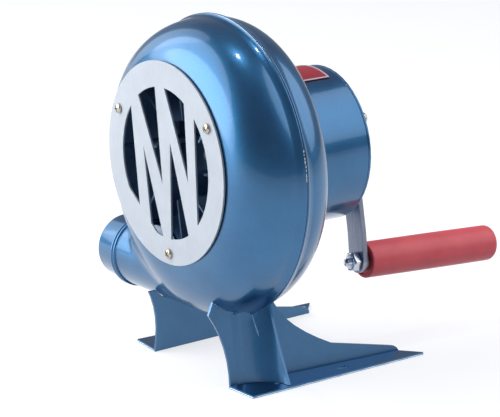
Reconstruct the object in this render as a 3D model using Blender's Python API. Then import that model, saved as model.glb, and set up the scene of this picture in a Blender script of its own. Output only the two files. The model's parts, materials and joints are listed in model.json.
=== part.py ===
# Hand cranked centrifugal forge blower.
# Metres, +Z up. The intake faces -Y, the outlet points to -X, the crank is at +Y.
# Pieces are laid out round the fan axis, with the casing seam at y = 0, and the
# finished assembly is set down with the middle of its footprint on the origin.

import math

import bmesh
import bpy
from mathutils import Matrix, Vector

# Clearances
SEAT_GAP = 0.0003
RUN_GAP = 0.0003
GUIDE_GAP = 0.0006

# Casing, a volute whose radius grows clockwise from the tongue at -X
WALL = 0.0015
TONGUE_R = 0.0915
BOTTOM_R = 0.1165
FRONT_DEPTH = 0.0423
FRONT_FACE_R = 0.066
FRONT_POWER = 2.25
REAR_DEPTH = 0.030
REAR_SHOULDER = 0.020
REAR_POWER = 2.0
LIP = 0.0022
LIP_T = 0.0015
INTAKE_R = 0.0575
GROWING_TURN = 0.75
LIP_TAPER = 1.2

# Outlet
OUTLET_Y = -0.006
OUTLET_BORE_R = 0.0222
OUTLET_DIP = 2.0
COLLAR_WALL = 0.0012
COLLAR_LENGTH = 0.037
COLLAR_OUT = 0.020
SPOUT_END_X = -0.094
SPOUT_SINK = 0.0006
BEAD = 0.0012
BEAD_W = 0.0045
BEAD_SLOPE_W = 0.0011

# Intake cover with its zigzag grille
COVER_R = 0.0732
COVER_T = 0.0015
GRILLE_R = 0.0545
GRILLE_FLAT_OUT = 0.050
GRILLE_FLAT_TURN = 235.0
STROKE_OVERRUN = 0.011
STROKE_LEFT_TOPS = (-0.0462, -0.0470, -0.0122, -0.0069, 0.0242)
STROKE_LEFT_FEET = (-0.0304, -0.0023, 0.0023, 0.0328, 0.0335)
STROKE_RIGHT_TOPS = (-0.0355, -0.0395, 0.0065, 0.0000, 0.0361)
STROKE_RIGHT_FEET = (-0.0171, 0.0174, 0.0076, 0.0519, 0.0420)
COVER_SCREW_PCR = 0.0652
COVER_SCREW_START = 34.6
COVER_STEPS = 72

# Screws
SCREW_R = 0.0019
SCREW_HEAD_R = 0.0037
SCREW_HEAD_H = 0.0024
SCREW_LENGTH = 0.007
SCREW_BROW_H = 0.0013
SCREW_CROWN_R = 0.0026
SCREW_COUNT = 3
RECESS_W = 0.0010
RECESS_REACH = 0.0023
RECESS_DEPTH = 0.0012

# Gearbox
CAN_R = 0.0567
CAN_X = 0.0
CAN_Z = -0.0053
CAN_WALL = 0.0015
CAN_LENGTH = 0.063
LUG_R = 0.0048
LUG_LENGTH = 0.012
LUG_HOLE_DEPTH = 0.010
END_PLATE_T = 0.002
END_SCREW_START = 31.0
FLOOR_SCREW_PCR = 0.043
FLOOR_SCREW_START = 60.0
BRIDGE_T = 0.005
BRIDGE_AT = 0.027

# Label plate on the can
LABEL_T = 0.0008
LABEL_START = 69.5
LABEL_SWEEP = 50.0
LABEL_LENGTH = 0.042
LABEL_MARGIN = 0.0085
LABEL_STEPS = 17

# Gears
MODULE = 0.001
CRANK_TEETH = 60
LAY_PINION_TEETH = 12
LAY_GEAR_TEETH = 36
FAN_PINION_TEETH = 12
GEAR_W = 0.009
PINION_EXTRA = 0.002
TOOTH_SHARE = 0.40
ROOT_DEPTH = 1.25 * MODULE
TIP_HEIGHT = 0.9 * MODULE
PRESSURE_ANGLE = math.radians(20.0)

# Shafts and bushes
CRANK_X = 0.012
CRANK_Z = -0.005
FAN_SHAFT_R = 0.0035
LAY_SHAFT_R = 0.0035
CRANK_SHAFT_R = 0.005
CRANK_SPIGOT_R = 0.004
BUSH_WALL = 0.003
BUSH_FLANGE = 0.003
BUSH_FLANGE_T = 0.0015
BUSH_LENGTH = 0.010
CRANK_BUSH_OUT = 0.005

# Impeller
BLADES = 8
IMPELLER_R = 0.076
BLADE_ROOT_R = 0.030
BLADE_T = 0.0016
BLADE_LEAN = 18.0
BLADE_START = 38.0
IMPELLER_FRONT = 0.0095
BACKPLATE_T = 0.0016
BACKPLATE_GAP = 0.008
HUB_R = 0.012
HUB_LENGTH = 0.016

# Crank arm and grip
ARM_LENGTH = 0.0880
ARM_WIDTH = 0.0180
ARM_T = 0.004
ARM_REST = 11.4
ARM_SET = 3.3
ARM_SET_BACK = 0.022
ARM_STANDOFF = 0.0045
NUT_FLATS_R = 0.0065
NUT_H = 0.0055
WASHER_T = 0.0016
WASHER_R = 0.0085
STUD_PROUD = 0.0045
GRIP_R = 0.0133
GRIP_LENGTH = 0.118
GRIP_ROUND = 0.004
GRIP_BOLT_R = 0.003
GRIP_SLEEVE_WALL = 0.0013
GRIP_HEAD_R = 0.0065
GRIP_HEAD_H = 0.004
GRIP_HEAD_DEEP = 0.006

# Legs
AXIS_HEIGHT = 0.1583
LEG_T = 0.002
LEG_HALF_SPAN = 0.050
LEG_LEAN = 9.0
LEG_TOE = 2.7
LEG_FRONT_Y = -0.0225
LEG_REAR_Y = 0.1235
LEG_WAIST_H = 0.0286
LEG_WAIST_FLARE = 0.0018
LEG_SHOULDER_H = 0.0545
LEG_SHOULDER_FLARE = 0.0125
LEFT_LEG_TRIM = 0.017
FIN_TOP_Y = 0.020
FIN_SADDLE_Y = 0.066
FIN_SADDLE_H = 0.0175
FIN_END_H = 0.0065
FIN_BOW = 0.5
FLANGE_FRONT_W = 0.025
FLANGE_REAR_W = 0.0135
FLANGE_REAR_REACH = 0.012
FOOT_HOLE_R = 0.0022
FOOT_HOLE_Y = 0.0085
FOOT_SLOT_Y = 0.067
FOOT_SLOT_LENGTH = 0.010
GUSSET_T = 0.002
GUSSET_EDGE_T = 0.0008
GUSSET_BOW = 0.026
GUSSET_Y = 0.0135
GUSSET_TOP_W = 0.004
GUSSET_WAIST = 0.0012
GUSSET_SHOULDER = 0.815

# Facets
CASING_STEPS = 60
DOME_STEPS = 7
ROUND_STEPS = 48
SMALL_STEPS = 16
SCREW_STEPS = 12
ARM_STEPS = 12
BOW_STEPS = 6
CORNER_STEPS = 4
FLAT_ANGLE = 0.02
SLIVER = 0.00002
SHARP_ANGLE = 35.0

# Places worked out from the sizes above
FAN_X = 0.0
FAN_Z = 0.0
GROUND_Z = -AXIS_HEIGHT
FRONT_Y = -FRONT_DEPTH
BACK_Y = REAR_DEPTH
COVER_BACK_Y = FRONT_Y - SEAT_GAP
COVER_FRONT_Y = COVER_BACK_Y - COVER_T
COLLAR_R = OUTLET_BORE_R + COLLAR_WALL
SPOUT_BORE_R = COLLAR_R + SEAT_GAP
SPOUT_R = SPOUT_BORE_R + WALL
OUTLET_Z = SPOUT_R - BOTTOM_R + SPOUT_SINK
SPOUT_START_X = BOTTOM_R * math.sin(math.pi / CASING_STEPS)
GRILLE_FAR = GRILLE_R + 2 * STROKE_OVERRUN
COLLAR_END_X = SPOUT_END_X - COLLAR_OUT
SCREW_HOLE_R = SCREW_R + SEAT_GAP
BUSH_HOLE_EXTRA = RUN_GAP + BUSH_WALL + SEAT_GAP
FAN_HOLE_R = FAN_SHAFT_R + BUSH_HOLE_EXTRA
LAY_HOLE_R = LAY_SHAFT_R + BUSH_HOLE_EXTRA
CRANK_HOLE_R = CRANK_SHAFT_R + BUSH_HOLE_EXTRA
CAN_FLOOR_Y = BACK_Y + SEAT_GAP
CAN_INSIDE_Y = CAN_FLOOR_Y + CAN_WALL
CAN_RIM_Y = CAN_FLOOR_Y + CAN_LENGTH
END_PLATE_Y = CAN_RIM_Y + SEAT_GAP
END_FACE_Y = END_PLATE_Y + END_PLATE_T
LAY_POCKET_Y = END_FACE_Y - END_PLATE_T / 2
LUG_PCR = CAN_R - LUG_R - SEAT_GAP
BRIDGE_Y = CAN_INSIDE_Y + BRIDGE_AT
BRIDGE_END_Y = BRIDGE_Y + BRIDGE_T
CRANK_MESH_R = MODULE * (CRANK_TEETH + LAY_PINION_TEETH) / 2
FAN_MESH_R = MODULE * (LAY_GEAR_TEETH + FAN_PINION_TEETH) / 2
BACKPLATE_Y = BACK_Y - WALL - BACKPLATE_GAP - BACKPLATE_T
BLADE_FRONT_Y = FRONT_Y + WALL + IMPELLER_FRONT
FAN_GEAR_Y = BRIDGE_Y - SEAT_GAP - RUN_GAP - GEAR_W - PINION_EXTRA
CRANK_GEAR_Y = BRIDGE_END_Y + SEAT_GAP + RUN_GAP + PINION_EXTRA
CRANK_SHOULDER_Y = END_FACE_Y + CRANK_BUSH_OUT + RUN_GAP
ARM_Y = CRANK_SHOULDER_Y + ARM_STANDOFF + ARM_T / 2
NUT_R = NUT_FLATS_R / math.cos(math.pi / 6)
GRIP_SLEEVE_BORE_R = GRIP_BOLT_R + SEAT_GAP
GRIP_SLEEVE_R = GRIP_SLEEVE_BORE_R + GRIP_SLEEVE_WALL


def lay_place():
    # The lay shaft sits at both mesh distances, on the side away from the crank.
    reach = math.hypot(CRANK_X - FAN_X, CRANK_Z - FAN_Z)
    along = (FAN_MESH_R ** 2 - CRANK_MESH_R ** 2 + reach ** 2) / (2 * reach)
    across = math.sqrt(FAN_MESH_R ** 2 - along ** 2)
    ex = (CRANK_X - FAN_X) / reach
    ez = (CRANK_Z - FAN_Z) / reach
    return FAN_X + along * ex + across * ez, FAN_Z + along * ez - across * ex


LAY_X, LAY_Z = lay_place()


def clear_scene():
    for old in list(bpy.data.objects):
        bpy.data.objects.remove(old, do_unlink=True)


def make_material(name, color, roughness, metallic):
    material = bpy.data.materials.new(name)
    material.use_nodes = True
    shader = material.node_tree.nodes["Principled BSDF"]
    shader.inputs["Base Color"].default_value = (*color, 1.0)
    shader.inputs["Roughness"].default_value = roughness
    shader.inputs["Metallic"].default_value = metallic
    return material


def make_empty(name, parent, location, rotation=(0.0, 0.0, 0.0)):
    empty = bpy.data.objects.new(name, None)
    bpy.context.collection.objects.link(empty)
    empty.location = location
    empty.rotation_euler = rotation
    empty.parent = parent
    return empty


def mesh_object(name, bm):
    bmesh.ops.recalc_face_normals(bm, faces=bm.faces)
    mesh = bpy.data.meshes.new(name)
    bm.to_mesh(mesh)
    bm.free()
    obj = bpy.data.objects.new(name, mesh)
    bpy.context.collection.objects.link(obj)
    return obj


def combine(target, tool, operation):
    # Applies one Boolean to the target and removes the tool.
    modifier = target.modifiers.new(operation.lower(), "BOOLEAN")
    modifier.operation = operation
    modifier.object = tool
    modifier.solver = "EXACT"
    depsgraph = bpy.context.evaluated_depsgraph_get()
    baked = bpy.data.meshes.new_from_object(target.evaluated_get(depsgraph))
    target.modifiers.clear()
    target.data = baked
    bpy.data.objects.remove(tool, do_unlink=True)


def cut(target, tool):
    combine(target, tool, "DIFFERENCE")


def join(target, tool):
    combine(target, tool, "UNION")


def finish(obj, material, parent):
    # Clears the slivers and split flat faces that cuts leave, and shades round faces smooth.
    bm = bmesh.new()
    bm.from_mesh(obj.data)
    bmesh.ops.remove_doubles(bm, verts=bm.verts, dist=SLIVER)
    bmesh.ops.dissolve_degenerate(bm, dist=SLIVER, edges=bm.edges)
    bmesh.ops.dissolve_limit(bm, angle_limit=math.radians(FLAT_ANGLE), verts=bm.verts, edges=bm.edges)
    bm.to_mesh(obj.data)
    bm.free()
    obj.data.shade_smooth()
    obj.data.set_sharp_from_angle(angle=math.radians(SHARP_ANGLE))
    obj.data.materials.clear()
    obj.data.materials.append(material)
    obj.parent = parent


def bridge_rings(bm, first, second):
    # Joins two rings of vertices, either of which may be one point on the axis.
    count = max(len(first), len(second))
    for i in range(count):
        j = (i + 1) % count
        loop = [first[i % len(first)], first[j % len(first)]]
        loop += [second[j % len(second)], second[i % len(second)]]
        face = []
        for vert in loop:
            if vert not in face:
                face.append(vert)
        bm.faces.new(face)


def turned(name, profile, steps=ROUND_STEPS, x=0.0, z=0.0, tube=False):
    # Turns (y, radius) points about a line along Y. A tube's profile closes on itself.
    bm = bmesh.new()
    rings = []
    for y, radius in profile:
        if radius == 0.0:
            rings.append([bm.verts.new((x, y, z))])
            continue
        angles = [2 * math.pi * i / steps for i in range(steps)]
        ring = [bm.verts.new((x + radius * math.cos(a), y, z + radius * math.sin(a))) for a in angles]
        rings.append(ring)
    for first, second in zip(rings, rings[1:]):
        bridge_rings(bm, first, second)
    if tube:
        bridge_rings(bm, rings[-1], rings[0])
    return mesh_object(name, bm)


def rod(name, y0, y1, radius, steps=SMALL_STEPS, x=0.0, z=0.0):
    return turned(name, [(y0, 0.0), (y0, radius), (y1, radius), (y1, 0.0)], steps, x, z)


def pipe(name, y0, y1, outer, inner, steps=ROUND_STEPS, x=0.0, z=0.0):
    return turned(name, [(y0, inner), (y0, outer), (y1, outer), (y1, inner)], steps, x, z, tube=True)


def slab(name, outline, y0, y1):
    # Extrudes an (x, z) outline from y0 to y1.
    bm = bmesh.new()
    near = [bm.verts.new((px, y0, pz)) for px, pz in outline]
    far = [bm.verts.new((px, y1, pz)) for px, pz in outline]
    bm.faces.new(near)
    bm.faces.new(far)
    bridge_rings(bm, near, far)
    return mesh_object(name, bm)


def block(name, low, high):
    outline = [(low[0], low[2]), (high[0], low[2]), (high[0], high[2]), (low[0], high[2])]
    return slab(name, outline, low[1], high[1])


def ring_angles(count, start):
    return [math.radians(start + 360.0 * i / count) for i in range(count)]


def polar(radius, angle, x=0.0, z=0.0):
    return x + radius * math.cos(angle), z + radius * math.sin(angle)


# Casing

def volute_radius(turn):
    # Turn is clockwise from -X seen from the intake, 0 to 1. The last quarter
    # comes back from the outlet to the tongue under the spout.
    share = turn / GROWING_TURN
    if share <= 1.0:
        return TONGUE_R + (BOTTOM_R - TONGUE_R) * share
    back = (turn - GROWING_TURN) / (1 - GROWING_TURN)
    ease = back * back * (3 - 2 * back)
    return BOTTOM_R + (TONGUE_R - BOTTOM_R) * ease


def volute_solid(name, levels):
    # Each level is (y, function of the volute radius that gives the ring's radius).
    bm = bmesh.new()
    rings = []
    for y, ring_radius in levels:
        ring = []
        for i in range(CASING_STEPS):
            turn = i / CASING_STEPS
            radius = ring_radius(volute_radius(turn))
            angle = math.pi - 2 * math.pi * turn
            ring.append(bm.verts.new((radius * math.cos(angle), y, radius * math.sin(angle))))
        rings.append(ring)
    bm.faces.new(rings[0])
    bm.faces.new(rings[-1])
    for first, second in zip(rings, rings[1:]):
        bridge_rings(bm, first, second)
    return mesh_object(name, bm)


def dome_levels(depth, face_of, power, grow, side):
    # Superellipse from the seam to the flat face. Grow moves the skin outwards.
    levels = []
    for i in range(DOME_STEPS + 1):
        angle = math.pi / 2 * i / DOME_STEPS
        out = math.cos(angle) ** (2 / power)
        deep = math.sin(angle) ** (2 / power)

        def ring_radius(volute, out=out):
            face = face_of(volute)
            return face + (volute + grow - face) * out

        levels.append((side * (depth + grow) * deep, ring_radius))
    return levels


def front_face(volute):
    return FRONT_FACE_R


def rear_face(volute):
    return volute - REAR_SHOULDER


def half_levels(front, grow, lip):
    # One half of the casing as a closed solid that runs past the seam.
    side = -1 if front else 1
    depth = FRONT_DEPTH if front else REAR_DEPTH
    power = FRONT_POWER if front else REAR_POWER
    face_of = front_face if front else rear_face
    levels = dome_levels(depth, face_of, power, grow, side)
    edge = LIP + grow
    start = [(-side * LIP_T, lambda volute: volute + grow)]
    if lip:
        start = [(-side * LIP_T, lambda volute: volute + edge)]
        start.append((side * (LIP_T + grow), lambda volute: volute + edge))
        start.append((side * (LIP_T + grow) * LIP_TAPER, lambda volute: volute + grow))
    floor = abs(start[-1][0]) if lip else 0.0
    kept = [level for level in levels if abs(level[0]) > floor * LIP_TAPER]
    return start + kept


def outlet_place(x):
    # Lays a shape turned about Y along the outlet's axis, which dips towards the mouth.
    pivot = Matrix.Translation((FAN_X, OUTLET_Y, OUTLET_Z))
    dip = Matrix.Rotation(-math.radians(OUTLET_DIP), 4, "Y")
    return pivot @ dip @ Matrix.Translation((x, 0.0, 0.0)) @ Matrix.Rotation(math.pi / 2, 4, "Z")


def spout_solid(name, radius, start_x, end_x, beaded=False):
    # A closed cylinder for the outlet.
    profile = [(0.0, 0.0), (0.0, radius)]
    length = start_x - end_x
    if beaded:
        profile.append((length - BEAD_W, radius))
        profile.append((length - BEAD_W + BEAD_SLOPE_W, radius + BEAD))
        profile.append((length - BEAD_SLOPE_W, radius + BEAD))
    profile.append((length, radius))
    profile.append((length, 0.0))
    obj = turned(name, profile, ROUND_STEPS)
    obj.data.transform(outlet_place(start_x))
    return obj


def casing_half(name, front):
    shell = volute_solid(name, half_levels(front, 0.0, True))
    join(shell, spout_solid("spout", SPOUT_R, SPOUT_START_X, SPOUT_END_X, beaded=True))
    cut(shell, volute_solid("hollow", half_levels(front, -WALL, False)))
    cut(shell, spout_solid("spout_bore", SPOUT_BORE_R, SPOUT_START_X + WALL, SPOUT_END_X - WALL))
    reach = 2 * (BOTTOM_R + AXIS_HEIGHT)
    away = reach if front else -reach
    seam = -SEAT_GAP / 2 if front else SEAT_GAP / 2
    cut(shell, block("beyond_seam", (-reach, min(seam, away), -reach), (reach, max(seam, away), reach)))
    return shell


def keep_out(target):
    # Takes the casing's own space, with the seat gap, out of a piece welded to it.
    cut(target, volute_solid("front_space", half_levels(True, SEAT_GAP, True)))
    cut(target, volute_solid("rear_space", half_levels(False, SEAT_GAP, True)))
    cut(target, spout_solid("spout_space", SPOUT_R + SEAT_GAP, SPOUT_START_X, SPOUT_END_X))


def build_front_shell(paint, parent):
    shell = casing_half("front_shell", True)
    cut(shell, rod("intake", FRONT_Y - WALL, FRONT_Y + 2 * WALL, INTAKE_R, ROUND_STEPS))
    for angle in ring_angles(SCREW_COUNT, COVER_SCREW_START):
        x, z = polar(COVER_SCREW_PCR, angle)
        cut(shell, rod("hole", FRONT_Y - WALL, FRONT_Y + 3 * WALL, SCREW_HOLE_R, SCREW_STEPS, x, z))
    finish(shell, paint, parent)


def build_rear_shell(paint, parent):
    shell = casing_half("rear_shell", False)
    cut(shell, rod("fan_hole", BACK_Y - 2 * WALL, BACK_Y + WALL, FAN_HOLE_R, SMALL_STEPS, FAN_X, FAN_Z))
    for angle in ring_angles(SCREW_COUNT, FLOOR_SCREW_START):
        x, z = polar(FLOOR_SCREW_PCR, angle, CAN_X, CAN_Z)
        cut(shell, rod("hole", BACK_Y - 2 * WALL, BACK_Y + WALL, SCREW_HOLE_R, SCREW_STEPS, x, z))
    finish(shell, paint, parent)


def build_collar(paint, parent):
    collar = pipe("outlet_collar", 0.0, COLLAR_LENGTH, COLLAR_R, OUTLET_BORE_R)
    collar.data.transform(outlet_place(COLLAR_END_X + COLLAR_LENGTH))
    finish(collar, paint, parent)


# Intake cover

def stroke_edge(top, foot):
    # One edge of a stroke, as points above and below the ring.
    shift = (top - foot) * STROKE_OVERRUN / (2 * GRILLE_R)
    end = GRILLE_R + STROKE_OVERRUN
    return (top + shift, end), (foot - shift, -end)


def crossing(first, second):
    (ax, az), (bx, bz) = first
    (cx, cz), (dx, dz) = second
    slope_a = (bx - ax) / (bz - az)
    slope_c = (dx - cx) / (dz - cz)
    z = (cx - ax + slope_a * az - slope_c * cz) / (slope_a - slope_c)
    return ax + slope_a * (z - az), z


def grille_gaps():
    # Outlines of the six gaps that the five tapered strokes leave in the ring.
    lefts = [stroke_edge(top, foot) for top, foot in zip(STROKE_LEFT_TOPS, STROKE_LEFT_FEET)]
    rights = [stroke_edge(top, foot) for top, foot in zip(STROKE_RIGHT_TOPS, STROKE_RIGHT_FEET)]
    high, low = lefts[0]
    gaps = [[high, low, (-GRILLE_FAR, low[1]), (-GRILLE_FAR, high[1])]]
    for i, (left_edge, right_edge) in enumerate(zip(rights, lefts[1:])):
        end = 1 if i % 2 == 0 else 0
        gaps.append([crossing(left_edge, right_edge), right_edge[end], left_edge[end]])
    high, low = rights[-1]
    gaps.append([high, (GRILLE_FAR, high[1]), (GRILLE_FAR, low[1]), low])
    return gaps


def grille_ring(y0, y1):
    # The round opening, with the flat where the first stroke's foot joins the ring.
    ring = rod("ring", y0, y1, GRILLE_R, ROUND_STEPS)
    angle = math.radians(GRILLE_FLAT_TURN)
    corners = []
    for out, along in ((1, -1), (2, -1), (2, 1), (1, 1)):
        radius = GRILLE_FLAT_OUT * out
        side = GRILLE_FAR * along
        corners.append((radius * math.cos(angle) - side * math.sin(angle),
                        radius * math.sin(angle) + side * math.cos(angle)))
    cut(ring, slab("flat", corners, y0 - COVER_T, y1 + COVER_T))
    return ring


def build_cover(metal, parent):
    cover = rod("intake_cover", COVER_FRONT_Y, COVER_BACK_Y, COVER_R, COVER_STEPS)
    for outline in grille_gaps():
        gap = slab("gap", outline, COVER_FRONT_Y - COVER_T, COVER_BACK_Y + COVER_T)
        combine(gap, grille_ring(COVER_FRONT_Y - 2 * COVER_T, COVER_BACK_Y + 2 * COVER_T), "INTERSECT")
        cut(cover, gap)
    for angle in ring_angles(SCREW_COUNT, COVER_SCREW_START):
        x, z = polar(COVER_SCREW_PCR, angle)
        hole = rod("hole", COVER_FRONT_Y - COVER_T, COVER_BACK_Y + COVER_T, SCREW_HOLE_R, SCREW_STEPS, x, z)
        cut(cover, hole)
    finish(cover, metal, parent)


def build_screw(name, x, y, z, facing, metal, parent):
    # A pan head screw whose head rests on the plane y and faces -Y or +Y.
    seat = y + facing * SEAT_GAP
    crown = seat + facing * SCREW_HEAD_H
    brow = seat + facing * SCREW_BROW_H
    tip = seat - facing * SCREW_LENGTH
    profile = [(crown, 0.0), (crown, SCREW_CROWN_R), (brow, SCREW_HEAD_R), (seat, SCREW_HEAD_R)]
    profile += [(seat, SCREW_R), (tip, SCREW_R), (tip, 0.0)]
    screw = turned(name, profile, SCREW_STEPS, x, z)
    floor = crown - facing * RECESS_DEPTH
    over = crown + facing * RECESS_DEPTH
    y0 = min(floor, over)
    y1 = max(floor, over)
    long = RECESS_REACH
    short = RECESS_W / 2
    cross = block("recess", (x - long, y0, z - short), (x + long, y1, z + short))
    join(cross, block("recess_across", (x - short, y0, z - long), (x + short, y1, z + long)))
    cut(screw, cross)
    finish(screw, metal, parent)


def build_cover_screws(metal, parent):
    for i, angle in enumerate(ring_angles(SCREW_COUNT, COVER_SCREW_START)):
        x, z = polar(COVER_SCREW_PCR, angle)
        build_screw(f"cover_screw_{i + 1}", x, COVER_FRONT_Y, z, -1, metal, parent)


# Gearbox

def build_can(paint, parent):
    can = turned("gearbox_can", [
        (CAN_FLOOR_Y, 0.0),
        (CAN_FLOOR_Y, CAN_R),
        (CAN_RIM_Y, CAN_R),
        (CAN_RIM_Y, CAN_R - CAN_WALL),
        (CAN_INSIDE_Y, CAN_R - CAN_WALL),
        (CAN_INSIDE_Y, 0.0),
    ], ROUND_STEPS, CAN_X, CAN_Z)
    for angle in ring_angles(SCREW_COUNT, END_SCREW_START):
        x, z = polar(LUG_PCR, angle, CAN_X, CAN_Z)
        join(can, rod("lug", CAN_RIM_Y - LUG_LENGTH, CAN_RIM_Y - SEAT_GAP, LUG_R, SMALL_STEPS, x, z))
        cut(can, rod("hole", CAN_RIM_Y - LUG_HOLE_DEPTH, CAN_RIM_Y + WALL, SCREW_HOLE_R, SCREW_STEPS, x, z))
    for angle in ring_angles(SCREW_COUNT, FLOOR_SCREW_START):
        x, z = polar(FLOOR_SCREW_PCR, angle, CAN_X, CAN_Z)
        cut(can, rod("hole", CAN_FLOOR_Y - WALL, CAN_INSIDE_Y + WALL, SCREW_HOLE_R, SCREW_STEPS, x, z))
    cut(can, rod("hole", CAN_FLOOR_Y - WALL, CAN_INSIDE_Y + WALL, FAN_HOLE_R, SMALL_STEPS, FAN_X, FAN_Z))
    cut(can, rod("hole", CAN_FLOOR_Y - WALL, CAN_INSIDE_Y + WALL, LAY_HOLE_R, SMALL_STEPS, LAY_X, LAY_Z))
    finish(can, paint, parent)


def build_end_plate(paint, parent):
    plate = rod("gearbox_end_plate", END_PLATE_Y, END_FACE_Y, CAN_R, ROUND_STEPS, CAN_X, CAN_Z)
    low = END_PLATE_Y - WALL
    high = END_FACE_Y + WALL
    for angle in ring_angles(SCREW_COUNT, END_SCREW_START):
        x, z = polar(LUG_PCR, angle, CAN_X, CAN_Z)
        cut(plate, rod("hole", low, high, SCREW_HOLE_R, SCREW_STEPS, x, z))
    cut(plate, rod("hole", low, high, CRANK_HOLE_R, SMALL_STEPS, CRANK_X, CRANK_Z))
    cut(plate, rod("hole", low, LAY_POCKET_Y, LAY_HOLE_R, SMALL_STEPS, LAY_X, LAY_Z))
    finish(plate, paint, parent)


def build_gearbox_screws(metal, parent):
    for i, angle in enumerate(ring_angles(SCREW_COUNT, END_SCREW_START)):
        x, z = polar(LUG_PCR, angle, CAN_X, CAN_Z)
        build_screw(f"end_plate_screw_{i + 1}", x, END_FACE_Y, z, 1, metal, parent)
    for i, angle in enumerate(ring_angles(SCREW_COUNT, FLOOR_SCREW_START)):
        x, z = polar(FLOOR_SCREW_PCR, angle, CAN_X, CAN_Z)
        build_screw(f"can_screw_{i + 1}", x, CAN_INSIDE_Y, z, 1, metal, parent)


def build_bridge(iron, parent):
    edge = CAN_R - CAN_WALL - SEAT_GAP
    bridge = rod("bearing_bridge", BRIDGE_Y, BRIDGE_END_Y, edge, ROUND_STEPS, CAN_X, CAN_Z)
    bores = [(FAN_X, FAN_Z, FAN_SHAFT_R), (LAY_X, LAY_Z, LAY_SHAFT_R), (CRANK_X, CRANK_Z, CRANK_SPIGOT_R)]
    for x, z, radius in bores:
        cut(bridge, rod("bore", BRIDGE_Y - WALL, BRIDGE_END_Y + WALL, radius + RUN_GAP, SMALL_STEPS, x, z))
    finish(bridge, iron, parent)


def build_bush(name, shaft_r, y0, y1, flange0, flange1, x, z, bronze, parent):
    # A flanged bush. The flange stands between flange0 and flange1.
    bore = shaft_r + RUN_GAP
    outer = bore + BUSH_WALL
    rim = outer + BUSH_FLANGE
    profile = [(y0, bore), (y0, outer), (flange0, outer), (flange0, rim)]
    profile += [(flange1, rim), (flange1, outer), (y1, outer), (y1, bore)]
    points = []
    for point in profile:
        if not points or point != points[-1]:
            points.append(point)
    bush = turned(name, points, SMALL_STEPS, x, z, tube=True)
    finish(bush, bronze, parent)


def build_bushes(bronze, parent):
    seat = CAN_INSIDE_Y + SEAT_GAP
    build_bush("fan_bush", FAN_SHAFT_R, BACK_Y - WALL, CAN_INSIDE_Y + BUSH_LENGTH,
               seat, seat + BUSH_FLANGE_T, FAN_X, FAN_Z, bronze, parent)
    build_bush("lay_front_bush", LAY_SHAFT_R, CAN_FLOOR_Y + SEAT_GAP, CAN_INSIDE_Y + BUSH_LENGTH,
               seat, seat + BUSH_FLANGE_T, LAY_X, LAY_Z, bronze, parent)
    face = END_PLATE_Y - SEAT_GAP
    build_bush("lay_rear_bush", LAY_SHAFT_R, END_PLATE_Y - BUSH_LENGTH, LAY_POCKET_Y - SEAT_GAP,
               face - BUSH_FLANGE_T, face, LAY_X, LAY_Z, bronze, parent)
    build_bush("crank_bush", CRANK_SHAFT_R, END_PLATE_Y - BUSH_LENGTH, END_FACE_Y + CRANK_BUSH_OUT,
               face - BUSH_FLANGE_T, face, CRANK_X, CRANK_Z, bronze, parent)


def build_label(enamel, parent):
    # A thin plate bent to the top of the can.
    inner = CAN_R + SEAT_GAP
    outer = inner + LABEL_T
    step = LABEL_SWEEP / LABEL_STEPS
    angles = [math.radians(LABEL_START + step * i) for i in range(LABEL_STEPS + 1)]
    outline = [polar(outer, a, CAN_X, CAN_Z) for a in angles]
    outline += [polar(inner, a, CAN_X, CAN_Z) for a in reversed(angles)]
    end = CAN_RIM_Y - LABEL_MARGIN
    label = slab("label_plate", outline, end - LABEL_LENGTH, end)
    finish(label, enamel, parent)


# Gears and shafts

def involute(angle):
    return math.tan(angle) - angle


def tooth_half_angle(pitch_r, radius):
    base = pitch_r * math.cos(PRESSURE_ANGLE)
    half = TOOTH_SHARE * math.pi * MODULE / (2 * pitch_r)
    slope = math.acos(min(1.0, base / radius))
    return half + involute(PRESSURE_ANGLE) - involute(slope)


def gear_outline(teeth, phase):
    pitch_r = MODULE * teeth / 2
    root = pitch_r - ROOT_DEPTH
    tip = pitch_r + TIP_HEIGHT
    base = pitch_r * math.cos(PRESSURE_ANGLE)
    flank = [(root, tooth_half_angle(pitch_r, max(root, base))), (tip, tooth_half_angle(pitch_r, tip))]
    outline = []
    for i in range(teeth):
        centre = phase + 2 * math.pi * i / teeth
        outline += [polar(radius, centre - half) for radius, half in flank]
        outline += [polar(radius, centre + half) for radius, half in reversed(flank)]
    return outline


def build_gear(name, teeth, phase, y0, y1, shaft_r, steel, parent):
    # Modelled on its own axis, with y measured from the fan frame's seam.
    gear = slab(name, gear_outline(teeth, phase), y0, y1)
    cut(gear, rod("bore", y0 - WALL, y1 + WALL, shaft_r + SEAT_GAP, SMALL_STEPS))
    finish(gear, steel, parent)


def toward(x0, z0, x1, z1):
    return math.atan2(z1 - z0, x1 - x0)


def build_gear_train(steel, fan, lay, crank):
    to_lay = toward(CRANK_X, CRANK_Z, LAY_X, LAY_Z)
    build_gear("crank_gear", CRANK_TEETH, to_lay, CRANK_GEAR_Y, CRANK_GEAR_Y + GEAR_W,
               CRANK_SHAFT_R, steel, crank)
    gap = toward(LAY_X, LAY_Z, CRANK_X, CRANK_Z) + math.pi / LAY_PINION_TEETH
    build_gear("lay_pinion", LAY_PINION_TEETH, gap, CRANK_GEAR_Y - PINION_EXTRA / 2,
               CRANK_GEAR_Y + GEAR_W + PINION_EXTRA / 2, LAY_SHAFT_R, steel, lay)
    to_fan = toward(LAY_X, LAY_Z, FAN_X, FAN_Z)
    build_gear("lay_gear", LAY_GEAR_TEETH, to_fan, FAN_GEAR_Y, FAN_GEAR_Y + GEAR_W, LAY_SHAFT_R, steel, lay)
    gap = toward(FAN_X, FAN_Z, LAY_X, LAY_Z) + math.pi / FAN_PINION_TEETH
    build_gear("fan_pinion", FAN_PINION_TEETH, gap, FAN_GEAR_Y - PINION_EXTRA / 2,
               FAN_GEAR_Y + GEAR_W + PINION_EXTRA / 2, FAN_SHAFT_R, steel, fan)


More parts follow.
